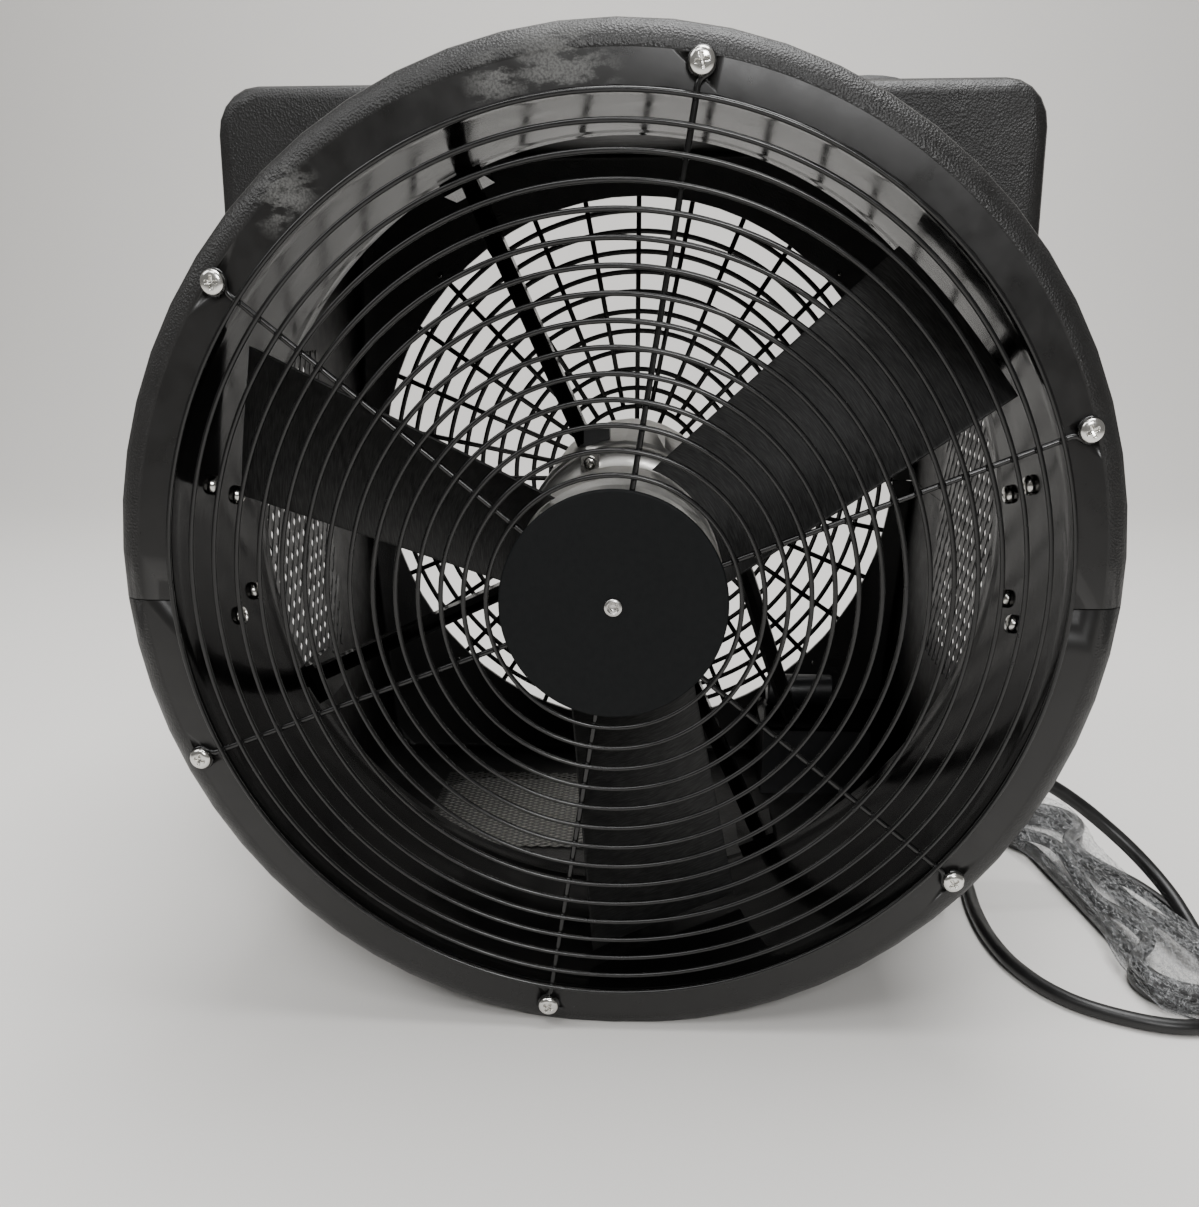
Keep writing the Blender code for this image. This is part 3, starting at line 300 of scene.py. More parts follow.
# ---------------------------------------------------------------- finishes
class Finish:
    """Builds one procedural material node by node."""

    def __init__(self, name, colour, roughness, metallic=0.0, **sockets):
        """Starts from a plain shader with the given colour, roughness and sockets."""
        self.material = bpy.data.materials.new(name)
        self.material.use_nodes = True
        self.tree = self.material.node_tree
        self.shader = self.tree.nodes["Principled BSDF"]
        self.set("Base Color", (*colour, 1.0))
        self.set("Roughness", roughness)
        self.set("Metallic", metallic)
        for socket, value in sockets.items():
            self.set(socket.replace("_", " "), value)
        self.place = self.node("ShaderNodeTexCoord").outputs["Object"]
        self.relief = None

    def set(self, socket, value):
        """Sets one of the shader's own sockets."""
        self.shader.inputs[socket].default_value = value

    def node(self, kind, **values):
        """Adds a node and sets its properties or inputs by name."""
        made = self.tree.nodes.new(kind)
        for key, value in values.items():
            if hasattr(made, key):
                setattr(made, key, value)
            else:
                made.inputs[key].default_value = value
        return made

    def link(self, source, target):
        """Joins an output to an input, and gives the input back."""
        self.tree.links.new(source, target)
        return target

    def mapped(self, scale, turn=(0, 0, 0), source=None):
        """Place stretched and turned, for a pattern with a direction."""
        mapping = self.node("ShaderNodeMapping")
        mapping.inputs["Scale"].default_value = scale
        mapping.inputs["Rotation"].default_value = turn
        self.link(source or self.place, mapping.inputs["Vector"])
        return mapping.outputs["Vector"]

    def noise(self, scale, detail=3.0, source=None, roughness=0.5):
        """Cloudy pattern of the given scale."""
        made = self.node("ShaderNodeTexNoise", Scale=scale, Detail=detail, Roughness=roughness)
        self.link(source or self.place, made.inputs["Vector"])
        return made.outputs["Fac"]

    def cells(self, scale, source=None):
        """Distance to the nearest of many scattered points."""
        made = self.node("ShaderNodeTexVoronoi", Scale=scale)
        self.link(source or self.place, made.inputs["Vector"])
        return made.outputs["Distance"]

    def maths(self, operation, first, second=0.0, clamp=False):
        """One sum on two values, each a number or an output."""
        made = self.node("ShaderNodeMath", operation=operation, use_clamp=clamp)
        for slot_index, value in enumerate((first, second)):
            if isinstance(value, (int, float)):
                made.inputs[slot_index].default_value = value
            else:
                self.link(value, made.inputs[slot_index])
        return made.outputs[0]

    def ranged(self, value, low, high, to_low=0.0, to_high=1.0):
        """Value carried from one range to another, held at the ends."""
        made = self.node("ShaderNodeMapRange")
        for key, number in (("From Min", low), ("From Max", high), ("To Min", to_low), ("To Max", to_high)):
            made.inputs[key].default_value = number
        self.link(value, made.inputs["Value"])
        return made.outputs["Result"]

    def blend(self, factor, first, second):
        """Mix of two colours by a factor."""
        made = self.node("ShaderNodeMix", data_type="RGBA")
        for index, value in ((6, first), (7, second)):
            if isinstance(value, tuple):
                made.inputs[index].default_value = (*value, 1.0)
            else:
                self.link(value, made.inputs[index])
        self.link(factor, made.inputs[0])
        return made.outputs[2]

    def colour(self, output):
        """Drives the base colour."""
        self.link(output, self.shader.inputs["Base Color"])

    def roughness(self, output):
        """Drives the roughness."""
        self.link(output, self.shader.inputs["Roughness"])

    def bump(self, height, strength, distance):
        """Adds a layer of relief on top of those before it."""
        made = self.node("ShaderNodeBump", Strength=strength, Distance=distance)
        self.link(height, made.inputs["Height"])
        if self.relief:
            self.link(self.relief, made.inputs["Normal"])
        self.relief = made.outputs["Normal"]
        self.link(self.relief, self.shader.inputs["Normal"])

    def radius_and_depth(self):
        """Distance from the fan axis and depth behind the ring plane, from Object coordinates."""
        parts = self.node("ShaderNodeSeparateXYZ")
        self.link(self.place, parts.inputs[0])
        rise = self.maths("SUBTRACT", parts.outputs["Z"], AXIS_Z)
        flat = self.maths("ADD", self.maths("MULTIPLY", parts.outputs["X"], parts.outputs["X"]),
                          self.maths("MULTIPLY", rise, rise))
        return self.maths("SQRT", flat), self.maths("SUBTRACT", parts.outputs["Y"], RING_PLANE)

    def near(self, centre, reach, fade):
        """1 near a point, 0 beyond its reach."""
        away = self.node("ShaderNodeVectorMath", operation="DISTANCE")
        self.link(self.place, away.inputs[0])
        away.inputs[1].default_value = centre
        return self.ranged(away.outputs["Value"], reach - fade, reach, 1.0, 0.0)


def housing_finish():
    """Pebbled moulding; the flange's face and bore are smooth and slightly scuffed."""
    base = settings("blower_colours").housing
    f = Finish("pebbled_housing", base, 0.5, Specular_IOR_Level=0.45)
    radius, depth = f.radius_and_depth()
    face_edge, face_depth = (0.2445, 0.2460), (0.0050, 0.0062)
    bore_edge, bore_depth = (0.2315, 0.2325), (0.156, 0.160)
    face = f.maths("MULTIPLY", f.ranged(radius, *face_edge, 1.0, 0.0), f.ranged(depth, *face_depth, 1.0, 0.0))
    bore = f.maths("MULTIPLY", f.ranged(radius, *bore_edge, 1.0, 0.0), f.ranged(depth, *bore_depth, 1.0, 0.0))
    smooth = f.maths("MAXIMUM", face, bore)
    rough = f.maths("SUBTRACT", 1.0, smooth)
    pebbles = f.maths("ADD", f.cells(880.0), f.maths("MULTIPLY", f.noise(1200.0, 4.0), 0.7))
    f.bump(f.maths("MULTIPLY", pebbles, rough), 0.45, 0.00055)
    f.bump(f.noise(140.0, 5.0), 0.10, 0.0004)
    wear = f.maths("MULTIPLY", f.noise(55.0, 6.0, roughness=0.75), f.noise(9.0, 2.0))
    marks = None
    scuffs = (((-0.024, RING_PLANE + 0.005, 0.489), 0.030),
              ((-0.150, RING_PLANE + 0.005, 0.440), 0.020),
              ((-0.052, RING_PLANE + 0.006, 0.486), 0.016))
    for centre, reach in scuffs:
        spot = f.near(centre, reach, reach * 0.75)
        marks = spot if marks is None else f.maths("MAXIMUM", marks, spot)
    smear = f.noise(30.0, 7.0, source=f.mapped((1.0, 1.0, 2.4), (0, 0.5, 0)), roughness=0.7)
    marks = f.maths("MULTIPLY", marks, f.ranged(smear, 0.47, 0.53), clamp=True)
    marks = f.maths("MULTIPLY", marks, f.ranged(f.noise(900.0, 3.0), 0.35, 0.6, 0.35, 1.0))
    marks = f.maths("MULTIPLY", marks, f.ranged(radius, 0.229, 0.232))
    dust = f.ranged(wear, 0.22, 0.42, 0.0, 0.30)
    tone = f.blend(dust, tuple(base), (0.022, 0.021, 0.020))
    tone = f.blend(f.maths("MULTIPLY", marks, 0.75), tone, (0.15, 0.15, 0.145))
    f.colour(tone)
    grain = f.maths("ADD", f.ranged(f.noise(70.0, 5.0), 0.3, 0.7, 0.36, 0.50),
                    f.maths("MULTIPLY", smooth, -0.10))
    f.roughness(f.maths("ADD", grain, f.maths("MULTIPLY", marks, 0.2)))
    return f.material


def enamel_finish():
    """Gloss stoving enamel with faint orange peel."""
    f = Finish("gloss_enamel", settings("blower_colours").enamel, 0.12, Specular_IOR_Level=0.03)
    f.bump(f.noise(210.0, 2.0), 0.04, 0.0005)
    f.bump(f.noise(9.0, 1.0), 0.10, 0.0030)
    base = settings("blower_colours").enamel
    f.roughness(f.ranged(f.noise(42.0, 5.0), 0.30, 0.75, 0.08, 0.17))
    f.colour(f.blend(f.ranged(f.noise(180.0, 6.0, roughness=0.8), 0.58, 0.80, 0.0, 0.25), tuple(base),
                     (0.012, 0.012, 0.012)))
    return f.material


def wire_finish():
    """Dipped plastic coat on wire, thicker at its beads."""
    base = settings("blower_colours").wire
    f = Finish("dipped_wire", base, 0.3, Specular_IOR_Level=0.5)
    f.bump(f.noise(420.0, 3.0), 0.12, 0.0002)
    f.bump(f.noise(60.0, 3.0), 0.14, 0.0006)
    f.roughness(f.ranged(f.noise(120.0, 4.0), 0.3, 0.7, 0.15, 0.28))
    f.colour(f.blend(f.ranged(f.noise(30.0, 5.0), 0.45, 0.8, 0.0, 0.4), tuple(base), (0.012, 0.012, 0.012)))
    return f.material


def plate_finish():
    """Matt powder coat with fine grain and a trace of dust."""
    base = settings("blower_colours").plate
    f = Finish("matt_powder_coat", base, 0.62, Specular_IOR_Level=0.14)
    f.bump(f.noise(1500.0, 2.0), 0.22, 0.00025)
    f.roughness(f.ranged(f.noise(320.0, 4.0), 0.3, 0.7, 0.52, 0.70))
    f.colour(f.blend(f.ranged(f.noise(240.0, 6.0, roughness=0.8), 0.60, 0.78, 0.0, 0.25), tuple(base),
                     (0.014, 0.016, 0.018)))
    return f.material


def blade_finish():
    """Black sheet brushed across the blade: fine streaks follow the chord on the blade's own UV map."""
    base = settings("blower_colours").blade
    f = Finish("brushed_black_sheet", base, 0.42, 0.35, Specular_IOR_Level=0.5)
    surface = f.node("ShaderNodeUVMap", uv_map="Surface").outputs["UV"]
    streaks = f.noise(1.0, 6.0, source=f.mapped((260.0, 9.0, 1.0), (0, 0, 0.22), surface), roughness=0.7)
    bands = f.noise(1.0, 4.0, source=f.mapped((26.0, 3.0, 1.0), (0, 0, 0.22), surface))
    f.bump(streaks, 0.28, 0.0004)
    f.roughness(f.maths("ADD", f.ranged(streaks, 0.3, 0.7, 0.30, 0.46),
                        f.ranged(bands, 0.3, 0.7, -0.05, 0.07)))
    f.colour(f.blend(f.ranged(streaks, 0.42, 0.68, 0.0, 0.85), tuple(base), (0.055, 0.055, 0.054)))
    return f.material


def metal_finish(name, colour, roughness, scale=90.0, stretch=(1.0, 12.0, 1.0), stain=(0.40, 0.39, 0.37)):
    """Bare or plated metal with turning marks, stains and varied polish."""
    f = Finish(name, colour, roughness, 1.0)
    marks = f.noise(scale, 5.0, source=f.mapped(stretch), roughness=0.65)
    f.bump(marks, 0.16, 0.0003)
    f.roughness(f.ranged(marks, 0.3, 0.7, roughness * 0.75, roughness * 1.35))
    f.colour(f.blend(f.ranged(f.noise(35.0, 6.0, roughness=0.7), 0.5, 0.8, 0.0, 0.55), tuple(colour), stain))
    return f.material


def moulded_finish(name, colour, roughness, grain=800.0, strength=0.25):
    """Small mouldings: fine spark grain and handling sheen."""
    f = Finish(name, colour, roughness, Specular_IOR_Level=0.45)
    f.bump(f.noise(grain, 3.0), strength, 0.0003)
    f.roughness(f.ranged(f.noise(60.0, 5.0), 0.3, 0.7, roughness - 0.08, roughness + 0.10))
    f.colour(f.blend(f.ranged(f.noise(45.0, 5.0), 0.5, 0.8, 0.0, 0.35), tuple(colour),
                     tuple(min(c * 2.2 + 0.01, 1.0) for c in colour)))
    return f.material


def film_finish():
    """Clear stretch film: thin, glossy and creased."""
    f = Finish("stretch_film", (0.55, 0.56, 0.57), 0.10, Specular_IOR_Level=1.0, IOR=1.5)
    creases = f.noise(120.0, 5.0, source=f.mapped((1.0, 0.35, 1.0), (0, 0, 0.5)), roughness=0.75)
    folds = f.cells(95.0, source=f.mapped((1.0, 0.30, 1.0), (0, 0, -0.4)))
    f.bump(f.maths("ADD", creases, f.maths("MULTIPLY", folds, 0.8)), 1.0, 0.006)
    f.roughness(f.ranged(f.noise(90.0, 4.0), 0.3, 0.7, 0.04, 0.16))
    ridge = None
    for scale, turn in ((120.0, 0.9), (190.0, -0.5), (270.0, 0.2)):
        wave = f.noise(scale, 3.0, source=f.mapped((1.0, 0.35, 1.0), (0, 0, turn)), roughness=0.6)
        line = f.ranged(f.maths("ABSOLUTE", f.maths("SUBTRACT", wave, 0.5)), 0.0, 0.012, 1.0, 0.0)
        ridge = line if ridge is None else f.maths("MAXIMUM", ridge, line)
    f.link(f.maths("ADD", f.maths("MULTIPLY", ridge, 0.50), 0.04), f.shader.inputs["Alpha"])
    return f.material


FINISHES = {}


def make_finishes():
    """All finishes by the name of the thing they cover."""
    colours = settings("blower_colours")
    FINISHES.update(
        housing=housing_finish(), enamel=enamel_finish(), wire=wire_finish(), plate=plate_finish(),
        blade=blade_finish(),
        aluminium=metal_finish("cast_aluminium_skin", (0.72, 0.71, 0.68), 0.46, 70.0, (1.0, 7.0, 1.0)),
        steel=metal_finish("turned_steel", (0.58, 0.57, 0.55), 0.26, 160.0),
        zinc=metal_finish("bright_zinc", (0.74, 0.73, 0.70), 0.17, 220.0, (1.0, 2.0, 1.0),
                          (0.50, 0.49, 0.46)),
        mesh=moulded_finish("black_mesh", (0.010, 0.010, 0.010), 0.38, 500.0, 0.15),
        bright_mesh=metal_finish("steel_mesh", (0.30, 0.30, 0.29), 0.40, 200.0),
        nylon=moulded_finish("black_nylon", (0.012, 0.012, 0.013), 0.42),
        rubber=moulded_finish("cord_jacket", tuple(colours.cord), 0.36, 260.0, 0.12),
        red=moulded_finish("red_rocker", (0.42, 0.015, 0.012), 0.30, 500.0, 0.08),
        pins=metal_finish("plated_pins", (0.75, 0.62, 0.36), 0.22, 180.0, (1.0, 4.0, 1.0),
                          (0.55, 0.42, 0.22)),
        film=film_finish())


class BLOWER_OT_finishes(bpy.types.Operator):
    """Make every finish and put it on the CAD pieces that keep their own shape"""
    bl_idname = "blower.finishes"
    bl_label = "Finishes"

    def execute(self, context):
        make_finishes()
        slots = {"housing_black": "housing", "gloss_black": "enamel", "wire_black": "wire",
                 "matte_black": "plate", "blade_black": "blade", "cast_aluminium": "aluminium",
                 "steel": "steel", "zinc": "zinc",
                 "mesh_black": "mesh", "nylon_black": "nylon", "rocker_red": "red", "cord_rubber": "rubber",
                 "brass": "pins"}
        owners = {entry["node"]: entry["material_slot"] for entry in frame["record"]["subparts"]}
        for node, item in frame["nodes"].items():
            item.data.materials.clear()
            item.data.materials.append(FINISHES[slots[owners[node]]])
        return {"FINISHED"}


# ---------------------------------------------------------------- mains cord
CORD_LOW = 0.00505
HANK_START, HANK_RUN = np.array((0.322, 0.075)), np.array((0.1257, -0.9921))


def beside_hank(along, across, height):
    """World point in the hank's own plan: along its run and to its right."""
    side = np.array((-HANK_RUN[1], HANK_RUN[0]))
    return (*(HANK_START + HANK_RUN * along + side * across), height)


def fold(centre, leg_in, leg_out, height, way):
    """End loop of the hank: an S off the arriving leg, most of a circle, an S back.

    The arcs are laid out at about three cord diameters in radius; the smoothed route bends tighter in places.
    """
    reach, tips = 0.0290, []
    for leg in (leg_in, leg_out):
        off = math.sqrt(4 * reach ** 2 - (leg + reach) ** 2)
        lean = math.atan2(-(leg + reach), off)
        turn = np.linspace(-math.pi / 2, lean, 6)
        tips.append((np.stack([-off + reach * np.cos(turn), leg + reach + reach * np.sin(turn)], axis=1),
                     lean + math.pi))
    arc = np.linspace(tips[0][1], -tips[1][1], 18)[1:-1]
    loop = np.concatenate([tips[0][0], reach * np.stack([np.cos(arc), np.sin(arc)], axis=1),
                           tips[1][0][::-1] * (1, -1)])
    return [(centre + way * u, way * v, height) for u, v in loop]


def cord_points():
    """Route: gland, free arc, five folded runs, then round on the floor to the plug."""
    air = [(0.2637, -0.0517, 0.0952), (0.2750, -0.0519, 0.0938), (0.2945, -0.0510, 0.0860),
           (0.3160, -0.0510, 0.0725), (0.3350, -0.0548, 0.0585), (0.3520, -0.0645, 0.0450),
           (0.3650, -0.0790, 0.0330), (0.3735, -0.0975, 0.0230), (0.3775, -0.1185, 0.0148),
           (0.3795, -0.1405, 0.0086)]
    low, high = CORD_LOW, 0.0148
    front, rear = 0.2540, 0.0310
    hank = [(0.2350, 0.0286, low)] + fold(front, 0.0285, 0.0165, low, 1)
    hank += [(u, -0.0165, low) for u in (0.200, 0.170, 0.140, 0.110, 0.085)]
    hank += fold(rear, 0.0165, 0.0165, low, -1)
    hank += [(0.085, 0.0165, low), (0.115, 0.0165, low), (0.145, 0.0165, low), (0.165, 0.0165, 0.0068),
             (0.185, 0.0165, 0.0110), (0.203, 0.0165, 0.0141)]
    hank += fold(front, 0.0165, 0.0055, high, 1)
    hank += [(0.193, -0.0055, 0.0141), (0.175, -0.0055, 0.0110), (0.155, -0.0055, 0.0068),
             (0.138, -0.0055, low),
             (0.124, -0.0055, 0.0064), (0.106, -0.0055, 0.0110), (0.092, -0.0055, 0.0141)]
    hank += fold(rear, 0.0055, 0.0055, high, -1)
    hank += [(0.090, 0.0063, high), (0.108, 0.0100, high), (0.126, 0.0165, high), (0.143, 0.0240, 0.0138),
             (0.160, 0.0312, 0.0108), (0.178, 0.0368, 0.0073), (0.197, 0.0398, low), (0.218, 0.0404, low),
             (0.240, 0.0398, low), (0.261, 0.0372, low), (0.2785, 0.0300, low), (0.2920, 0.0165, low),
             (0.2990, -0.0010, low)]
    floor = [(0.3410, -0.2278), (0.3210, -0.2265), (0.3005, -0.2190), (0.2815, -0.2075), (0.2672, -0.1920),
             (0.2575, -0.1745), (0.2500, -0.1520), (0.2458, -0.1220), (0.2455, -0.0880), (0.2485, -0.0540),
             (0.2520, -0.0150), (0.2535, 0.0300), (0.2542, 0.0700)]
    end = [(0.2550, 0.0960, 0.0073), (0.2554, 0.1170, 0.0110), (0.2555, 0.1277, 0.0113)]
    return air + [beside_hank(*p) for p in hank] + [(x, y, low) for x, y in floor] + end


class BLOWER_OT_cord(bpy.types.Operator):
    """The mains cord with its tapered gland, wrapped hank and plug"""
    bl_idname = "blower.cord"
    bl_label = "Mains cord"

    def execute(self, context):
        diameter = settings("blower_sizes").cord_diameter
        route = smooth_route(cord_points(), 0.006)
        curve = bpy.data.curves.new("mains_cord", "CURVE")
        curve.dimensions = "3D"
        curve.bevel_depth = diameter / 2
        curve.bevel_resolution = 6
        curve.use_fill_caps = True
        line = curve.splines.new("POLY")
        line.points.add(len(route) - 1)
        line.points.foreach_set("co", np.concatenate([route, np.ones((len(route), 1))], axis=1).ravel())
        line.use_smooth = True
        cord = bpy.data.objects.new("mains_cord", curve)
        bpy.context.scene.collection.objects.link(cord)
        curve.materials.append(FINISHES["rubber"])
        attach(cord, FIXED)
        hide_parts("cord_feed", "cord_hank", "cord_lead")
        gland = self.gland()
        film = self.film()
        plug = self.plug()
        return {"FINISHED"}

    def gland(self):
        """Round nut collar and a tapered, ribbed sleeve: radius falls along the cord with cut rings."""
        low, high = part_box("cord_gland")
        wall = (low.x + 0.0142, (low.y + high.y) / 2, (low.z + high.z) / 2 + 0.0007)
        reach = high.x - wall[0]
        along = np.linspace(0.0045, reach - 0.0004, 44)
        share = (along - along[0]) / (along[-1] - along[0])
        ribs = 0.00075 * np.clip(np.sin(share * np.pi * 12), -0.2, 1) * (share > 0.06) * (share < 0.97)
        radius = 0.0086 - 0.0028 * share + ribs
        profile = np.concatenate([[(-0.0135, 0.0076), (0.0003, 0.0078), (0.0003, 0.0100), (0.0009, 0.0105),
                                   (0.0030, 0.0105), (0.0036, 0.0100), (0.0040, 0.0088)],
                                  np.stack([along, radius], axis=1)])
        shape = placed(turned(profile, 36), wall, (1.0, 0.0, -0.05), (0, 1, 0))
        return piece("gland_sleeve", shape, FINISHES["nylon"], stands_for=("cord_gland",))

    def film(self):
        """Creased film round the folded runs: a flattened tube whose radius carries folded ridges."""
        rows, sides = 150, 120
        u = np.linspace(0, 1, rows)[:, None]
        turn = np.linspace(0, 2 * np.pi, sides, endpoint=False)[None, :]
        noise = np.random.default_rng(7)
        ridge = np.zeros((rows, sides))
        for _ in range(26):
            across, along, phase = noise.integers(1, 9), noise.uniform(-34, 34), noise.uniform(0, 6.3)
            ridge += noise.uniform(0.3, 1.0) * (1 - np.abs(np.sin(across * turn + along * u + phase))) ** 3
        ridge = ridge / ridge.max()
        swell = 1.0 + 0.10 * np.sin(u * 9.0 + 1.0) + 0.06 * np.sin(u * 23.0)
        close = np.clip(np.minimum(u, 1 - u) / 0.035, 0, 1) ** 0.5
        wide_end = np.clip(np.maximum((0.34 - u) / 0.24, (u - 0.62) / 0.20), 0, 1)
        half_wide = (0.0242 + 0.0104 * wide_end * wide_end * (3 - 2 * wide_end)) * (0.45 + 0.55 * close)
        half_high = 0.0118 * swell * (0.40 + 0.60 * close)
        c, s = np.cos(turn), np.sin(turn)
        across = np.sign(c) * np.abs(c) ** 0.75 * half_wide * (0.95 + 0.10 * ridge)
        height = (0.0122 * (0.5 + 0.5 * close)
                  + np.sign(s) * np.abs(s) ** 0.85 * half_high * (0.92 + 0.22 * ridge))
        height = np.maximum(height, 0.0004 + 0.0004 * ridge)
        along = np.broadcast_to(-0.005 + 0.297 * u, (rows, sides)) + 0.003 * ridge * (1 - close)
        side = np.array((-HANK_RUN[1], HANK_RUN[0]))
        plan = HANK_START + along[..., None] * HANK_RUN + across[..., None] * side
        points = np.concatenate([plan, height[..., None]], axis=-1)
        wrap = piece("hank_film", (points, grid_faces(rows, sides, round_columns=True)), FINISHES["film"],
                     sharp=180)
        wall = wrap.modifiers.new("thickness", "SOLIDIFY")
        wall.thickness, wall.offset = 0.00015, -1.0
        return wrap

    def plug(self):
        """Moulded plug: sections swell from a ribbed neck to a square-shouldered body."""
        low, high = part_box("plug_body")
        rows, sides = 36, 40
        u = np.linspace(0, 1, rows)[:, None]
        turn = np.linspace(0, 2 * np.pi, sides, endpoint=False)[None, :]
        swell = np.clip((u - 0.30) / 0.22, 0, 1)
        swell = swell * swell * (3 - 2 * swell)
        ribs = 0.0007 * np.sin(np.clip(u / 0.30, 0, 1) * np.pi * 7) * (u < 0.30)
        half_x, half_z = 0.0066 + 0.0072 * swell + ribs, 0.0062 + 0.0046 * swell + ribs
        edge = 1 - 0.10 * np.clip((u - 0.93) / 0.07, 0, 1) ** 2
        c, s = np.cos(turn), np.sin(turn)
        power = 1.0 - 0.45 * swell
        x = np.sign(c) * np.abs(c) ** power * half_x * edge
        z = np.sign(s) * np.abs(s) ** power * half_z * edge
        y = np.broadcast_to(u * (high.y - low.y - 0.0002), x.shape)
        centre = np.array(((low.x + high.x) / 2, low.y + 0.0001, (low.z + high.z) / 2))
        body = np.stack([x, y, z], axis=-1)
        ends = [body[:1] * (1e-4, 1, 1e-4), body, body[-1:] * (1e-4, 1, 1e-4)]
        faces = grid_faces(rows + 2, sides, round_columns=True)
        return piece("plug_moulding", (np.concatenate(ends) + centre, faces),
                     FINISHES["rubber"], stands_for=("plug_body",))


# ---------------------------------------------------------------- front guard
class BLOWER_OT_guard(bpy.types.Operator):
    """Front guard: rings, hooked spokes, centre plate and rivet"""
    bl_idname = "blower.guard"
    bl_label = "Front guard"

    def execute(self, context):
        sizes = settings("blower_sizes")
        turn = np.linspace(0, 2 * np.pi, 240, endpoint=False)
        shapes = []
        for k in range(sizes.ring_count):
            ring = fan_polar(0.0, sizes.ring_outer - k * sizes.ring_pitch, turn)
            shapes.append(swept(ring, WIRE, 10, closed=True))
        for k in range(6):
            angle = sizes.spoke_first + k * math.pi / 3
            shapes.append(swept(self.spoke(angle, sizes.screw_circle), 0.0015, 12))
            shapes += self.welds(sizes, angle)
        piece("guard_wires", gathered(shapes), FINISHES["wire"], stands_for=("front_guard",),
              sharp=60)
        self.plate()
        return {"FINISHED"}

    def spoke(self, angle, circle):
        """Straight run from the clamp, then an open hook round its screw: 300 degrees of a circle."""
        out = np.array((math.cos(angle), 0.0, math.sin(angle)))
        across = np.array((-out[2], 0.0, out[0]))
        centre = np.array((0.0, RING_PLANE + 0.0025, AXIS_Z))
        run = np.linspace(0.024, circle - 0.0080, 30)[:, None] * out
        turn = np.radians(np.linspace(-150, 150, 40))[:, None]
        hook = out * (circle + 0.0052 * np.cos(turn)) + across * 0.0052 * np.sin(turn)
        lead = smooth_route([run[-2], run[-1], hook[0], hook[1]], 0.0008)[2:-2]
        return centre + np.concatenate([run[:-1], lead, hook[1:]])

    def welds(self, sizes, angle):
        """Small coated beads where a spoke crosses each ring: flattened spheres."""
        turn = np.linspace(0, 2 * np.pi, 10, endpoint=False)[None, :]
        rise = np.linspace(0, np.pi, 7)[:, None]
        up = np.broadcast_to(np.cos(rise), (7, 10))
        ball = np.stack([np.sin(rise) * np.cos(turn), up, np.sin(rise) * np.sin(turn)], -1)
        faces = grid_faces(7, 10, round_columns=True)
        radii = sizes.ring_outer - np.arange(sizes.ring_count) * sizes.ring_pitch
        centres = fan_polar(0.0012, radii, angle)
        return [(ball * (0.0021, 0.0017, 0.0021) + centre, faces) for centre in centres]

    def plate(self):
        """Spun disc with a rolled rim and a faint dish, and a hollow rivet at its centre."""
        rim = 0.0587
        turn_in = np.linspace(0, np.pi, 9)
        roll = np.stack([-0.00065 - 0.00135 * np.cos(turn_in),
                         rim - 0.00135 + 0.00135 * np.sin(turn_in)], axis=1)
        dish = np.linspace(0.0, 1.0, 14)[:, None]
        face = np.concatenate([-0.0020 + 0.0002 * np.cos(dish * np.pi / 2),
                               0.0026 + (rim - 0.0045) * dish], axis=1)
        back = np.array([(0.0007, rim - 0.0040), (0.0007, 0.0026)])
        piece("guard_disc", revolved(np.concatenate([face, roll, back]), 144), FINISHES["plate"],
              stands_for=("guard_plate",), sharp=50)
        flare = [(0.0055, 0.0018), (0.0062, 0.0032), (0.0068, 0.0030), (0.0068, 0.0), (-0.0012, 0.0),
                 (-0.0012, 0.0012), (-0.0016, 0.0019), (-0.0026, 0.0024), (-0.00315, 0.0032), (-0.0030, 0.0040),
                 (-0.0026, 0.0045), (-0.00225, 0.0045), (-0.00225, 0.0020)]
        piece("hollow_rivet", revolved(flare, 40), FINISHES["steel"], stands_for=("plate_rivet",),
              sharp=40)


# ---------------------------------------------------------------- screws
def pan_head(radius, height, shank_radius, shank, recess=0.0021):
    """Pan head on local +z with a cross recess: dome height less the depth of two crossed slots."""
    share = np.concatenate([[0.0], np.linspace(0.05, 1.0, 26)])[:, None]
    turn = np.linspace(0, 2 * np.pi, 64, endpoint=False)[None, :]
    x, y = share * np.cos(turn) * radius, share * np.sin(turn) * radius
    dome = height * (1 - 0.22 * share ** 2) * np.clip((1 - share ** 7), 0, 1) ** 0.5
    near, far = np.minimum(np.abs(x), np.abs(y)), np.maximum(np.abs(x), np.abs(y))
    across_slot = np.clip((0.135 * radius - near) / (0.05 * radius), 0, 1)
    along_slot = np.clip((0.52 * radius - far) / (0.10 * radius), 0, 1)
    slot_mask = across_slot * along_slot
    depth = recess * slot_mask * (1 - 0.55 * far / (0.52 * radius))
    head = np.stack([x, y, dome - depth], axis=-1)
    under = [(shank_radius, 0.0), (shank_radius, -shank + 0.001),
             (shank_radius * 0.6, -shank), (1e-9, -shank)]
    rest = np.stack([np.stack([r * np.cos(turn[0]), r * np.sin(turn[0]), np.full(64, z)], axis=-1)
                     for r, z in under])
    return np.concatenate([head, rest]), grid_faces(27 + 4, 64, round_columns=True)


def screw_in(node, along, name, stands=True, twist=0.0, size=None):
    """Detailed screw where a CAD screw is: its head faces along."""
    low, high = (np.array(v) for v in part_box(node))
    along = np.asarray(along, float) / np.linalg.norm(along)
    radius, height, shank_radius, shank = size
    centre = (low + high) / 2
    reach = abs((high - low) / 2 @ np.abs(along))
    tip = centre + along * (reach if np.max(np.abs(along)) > 0.999 else (height + shank) / 2)
    seat = tip - along * height
    across = (math.cos(twist), 0.3, math.sin(twist))
    piece(name, placed(pan_head(radius, height, shank_radius, shank), seat, along, across), FINISHES["zinc"],
          stands_for=(node,), sharp=38)


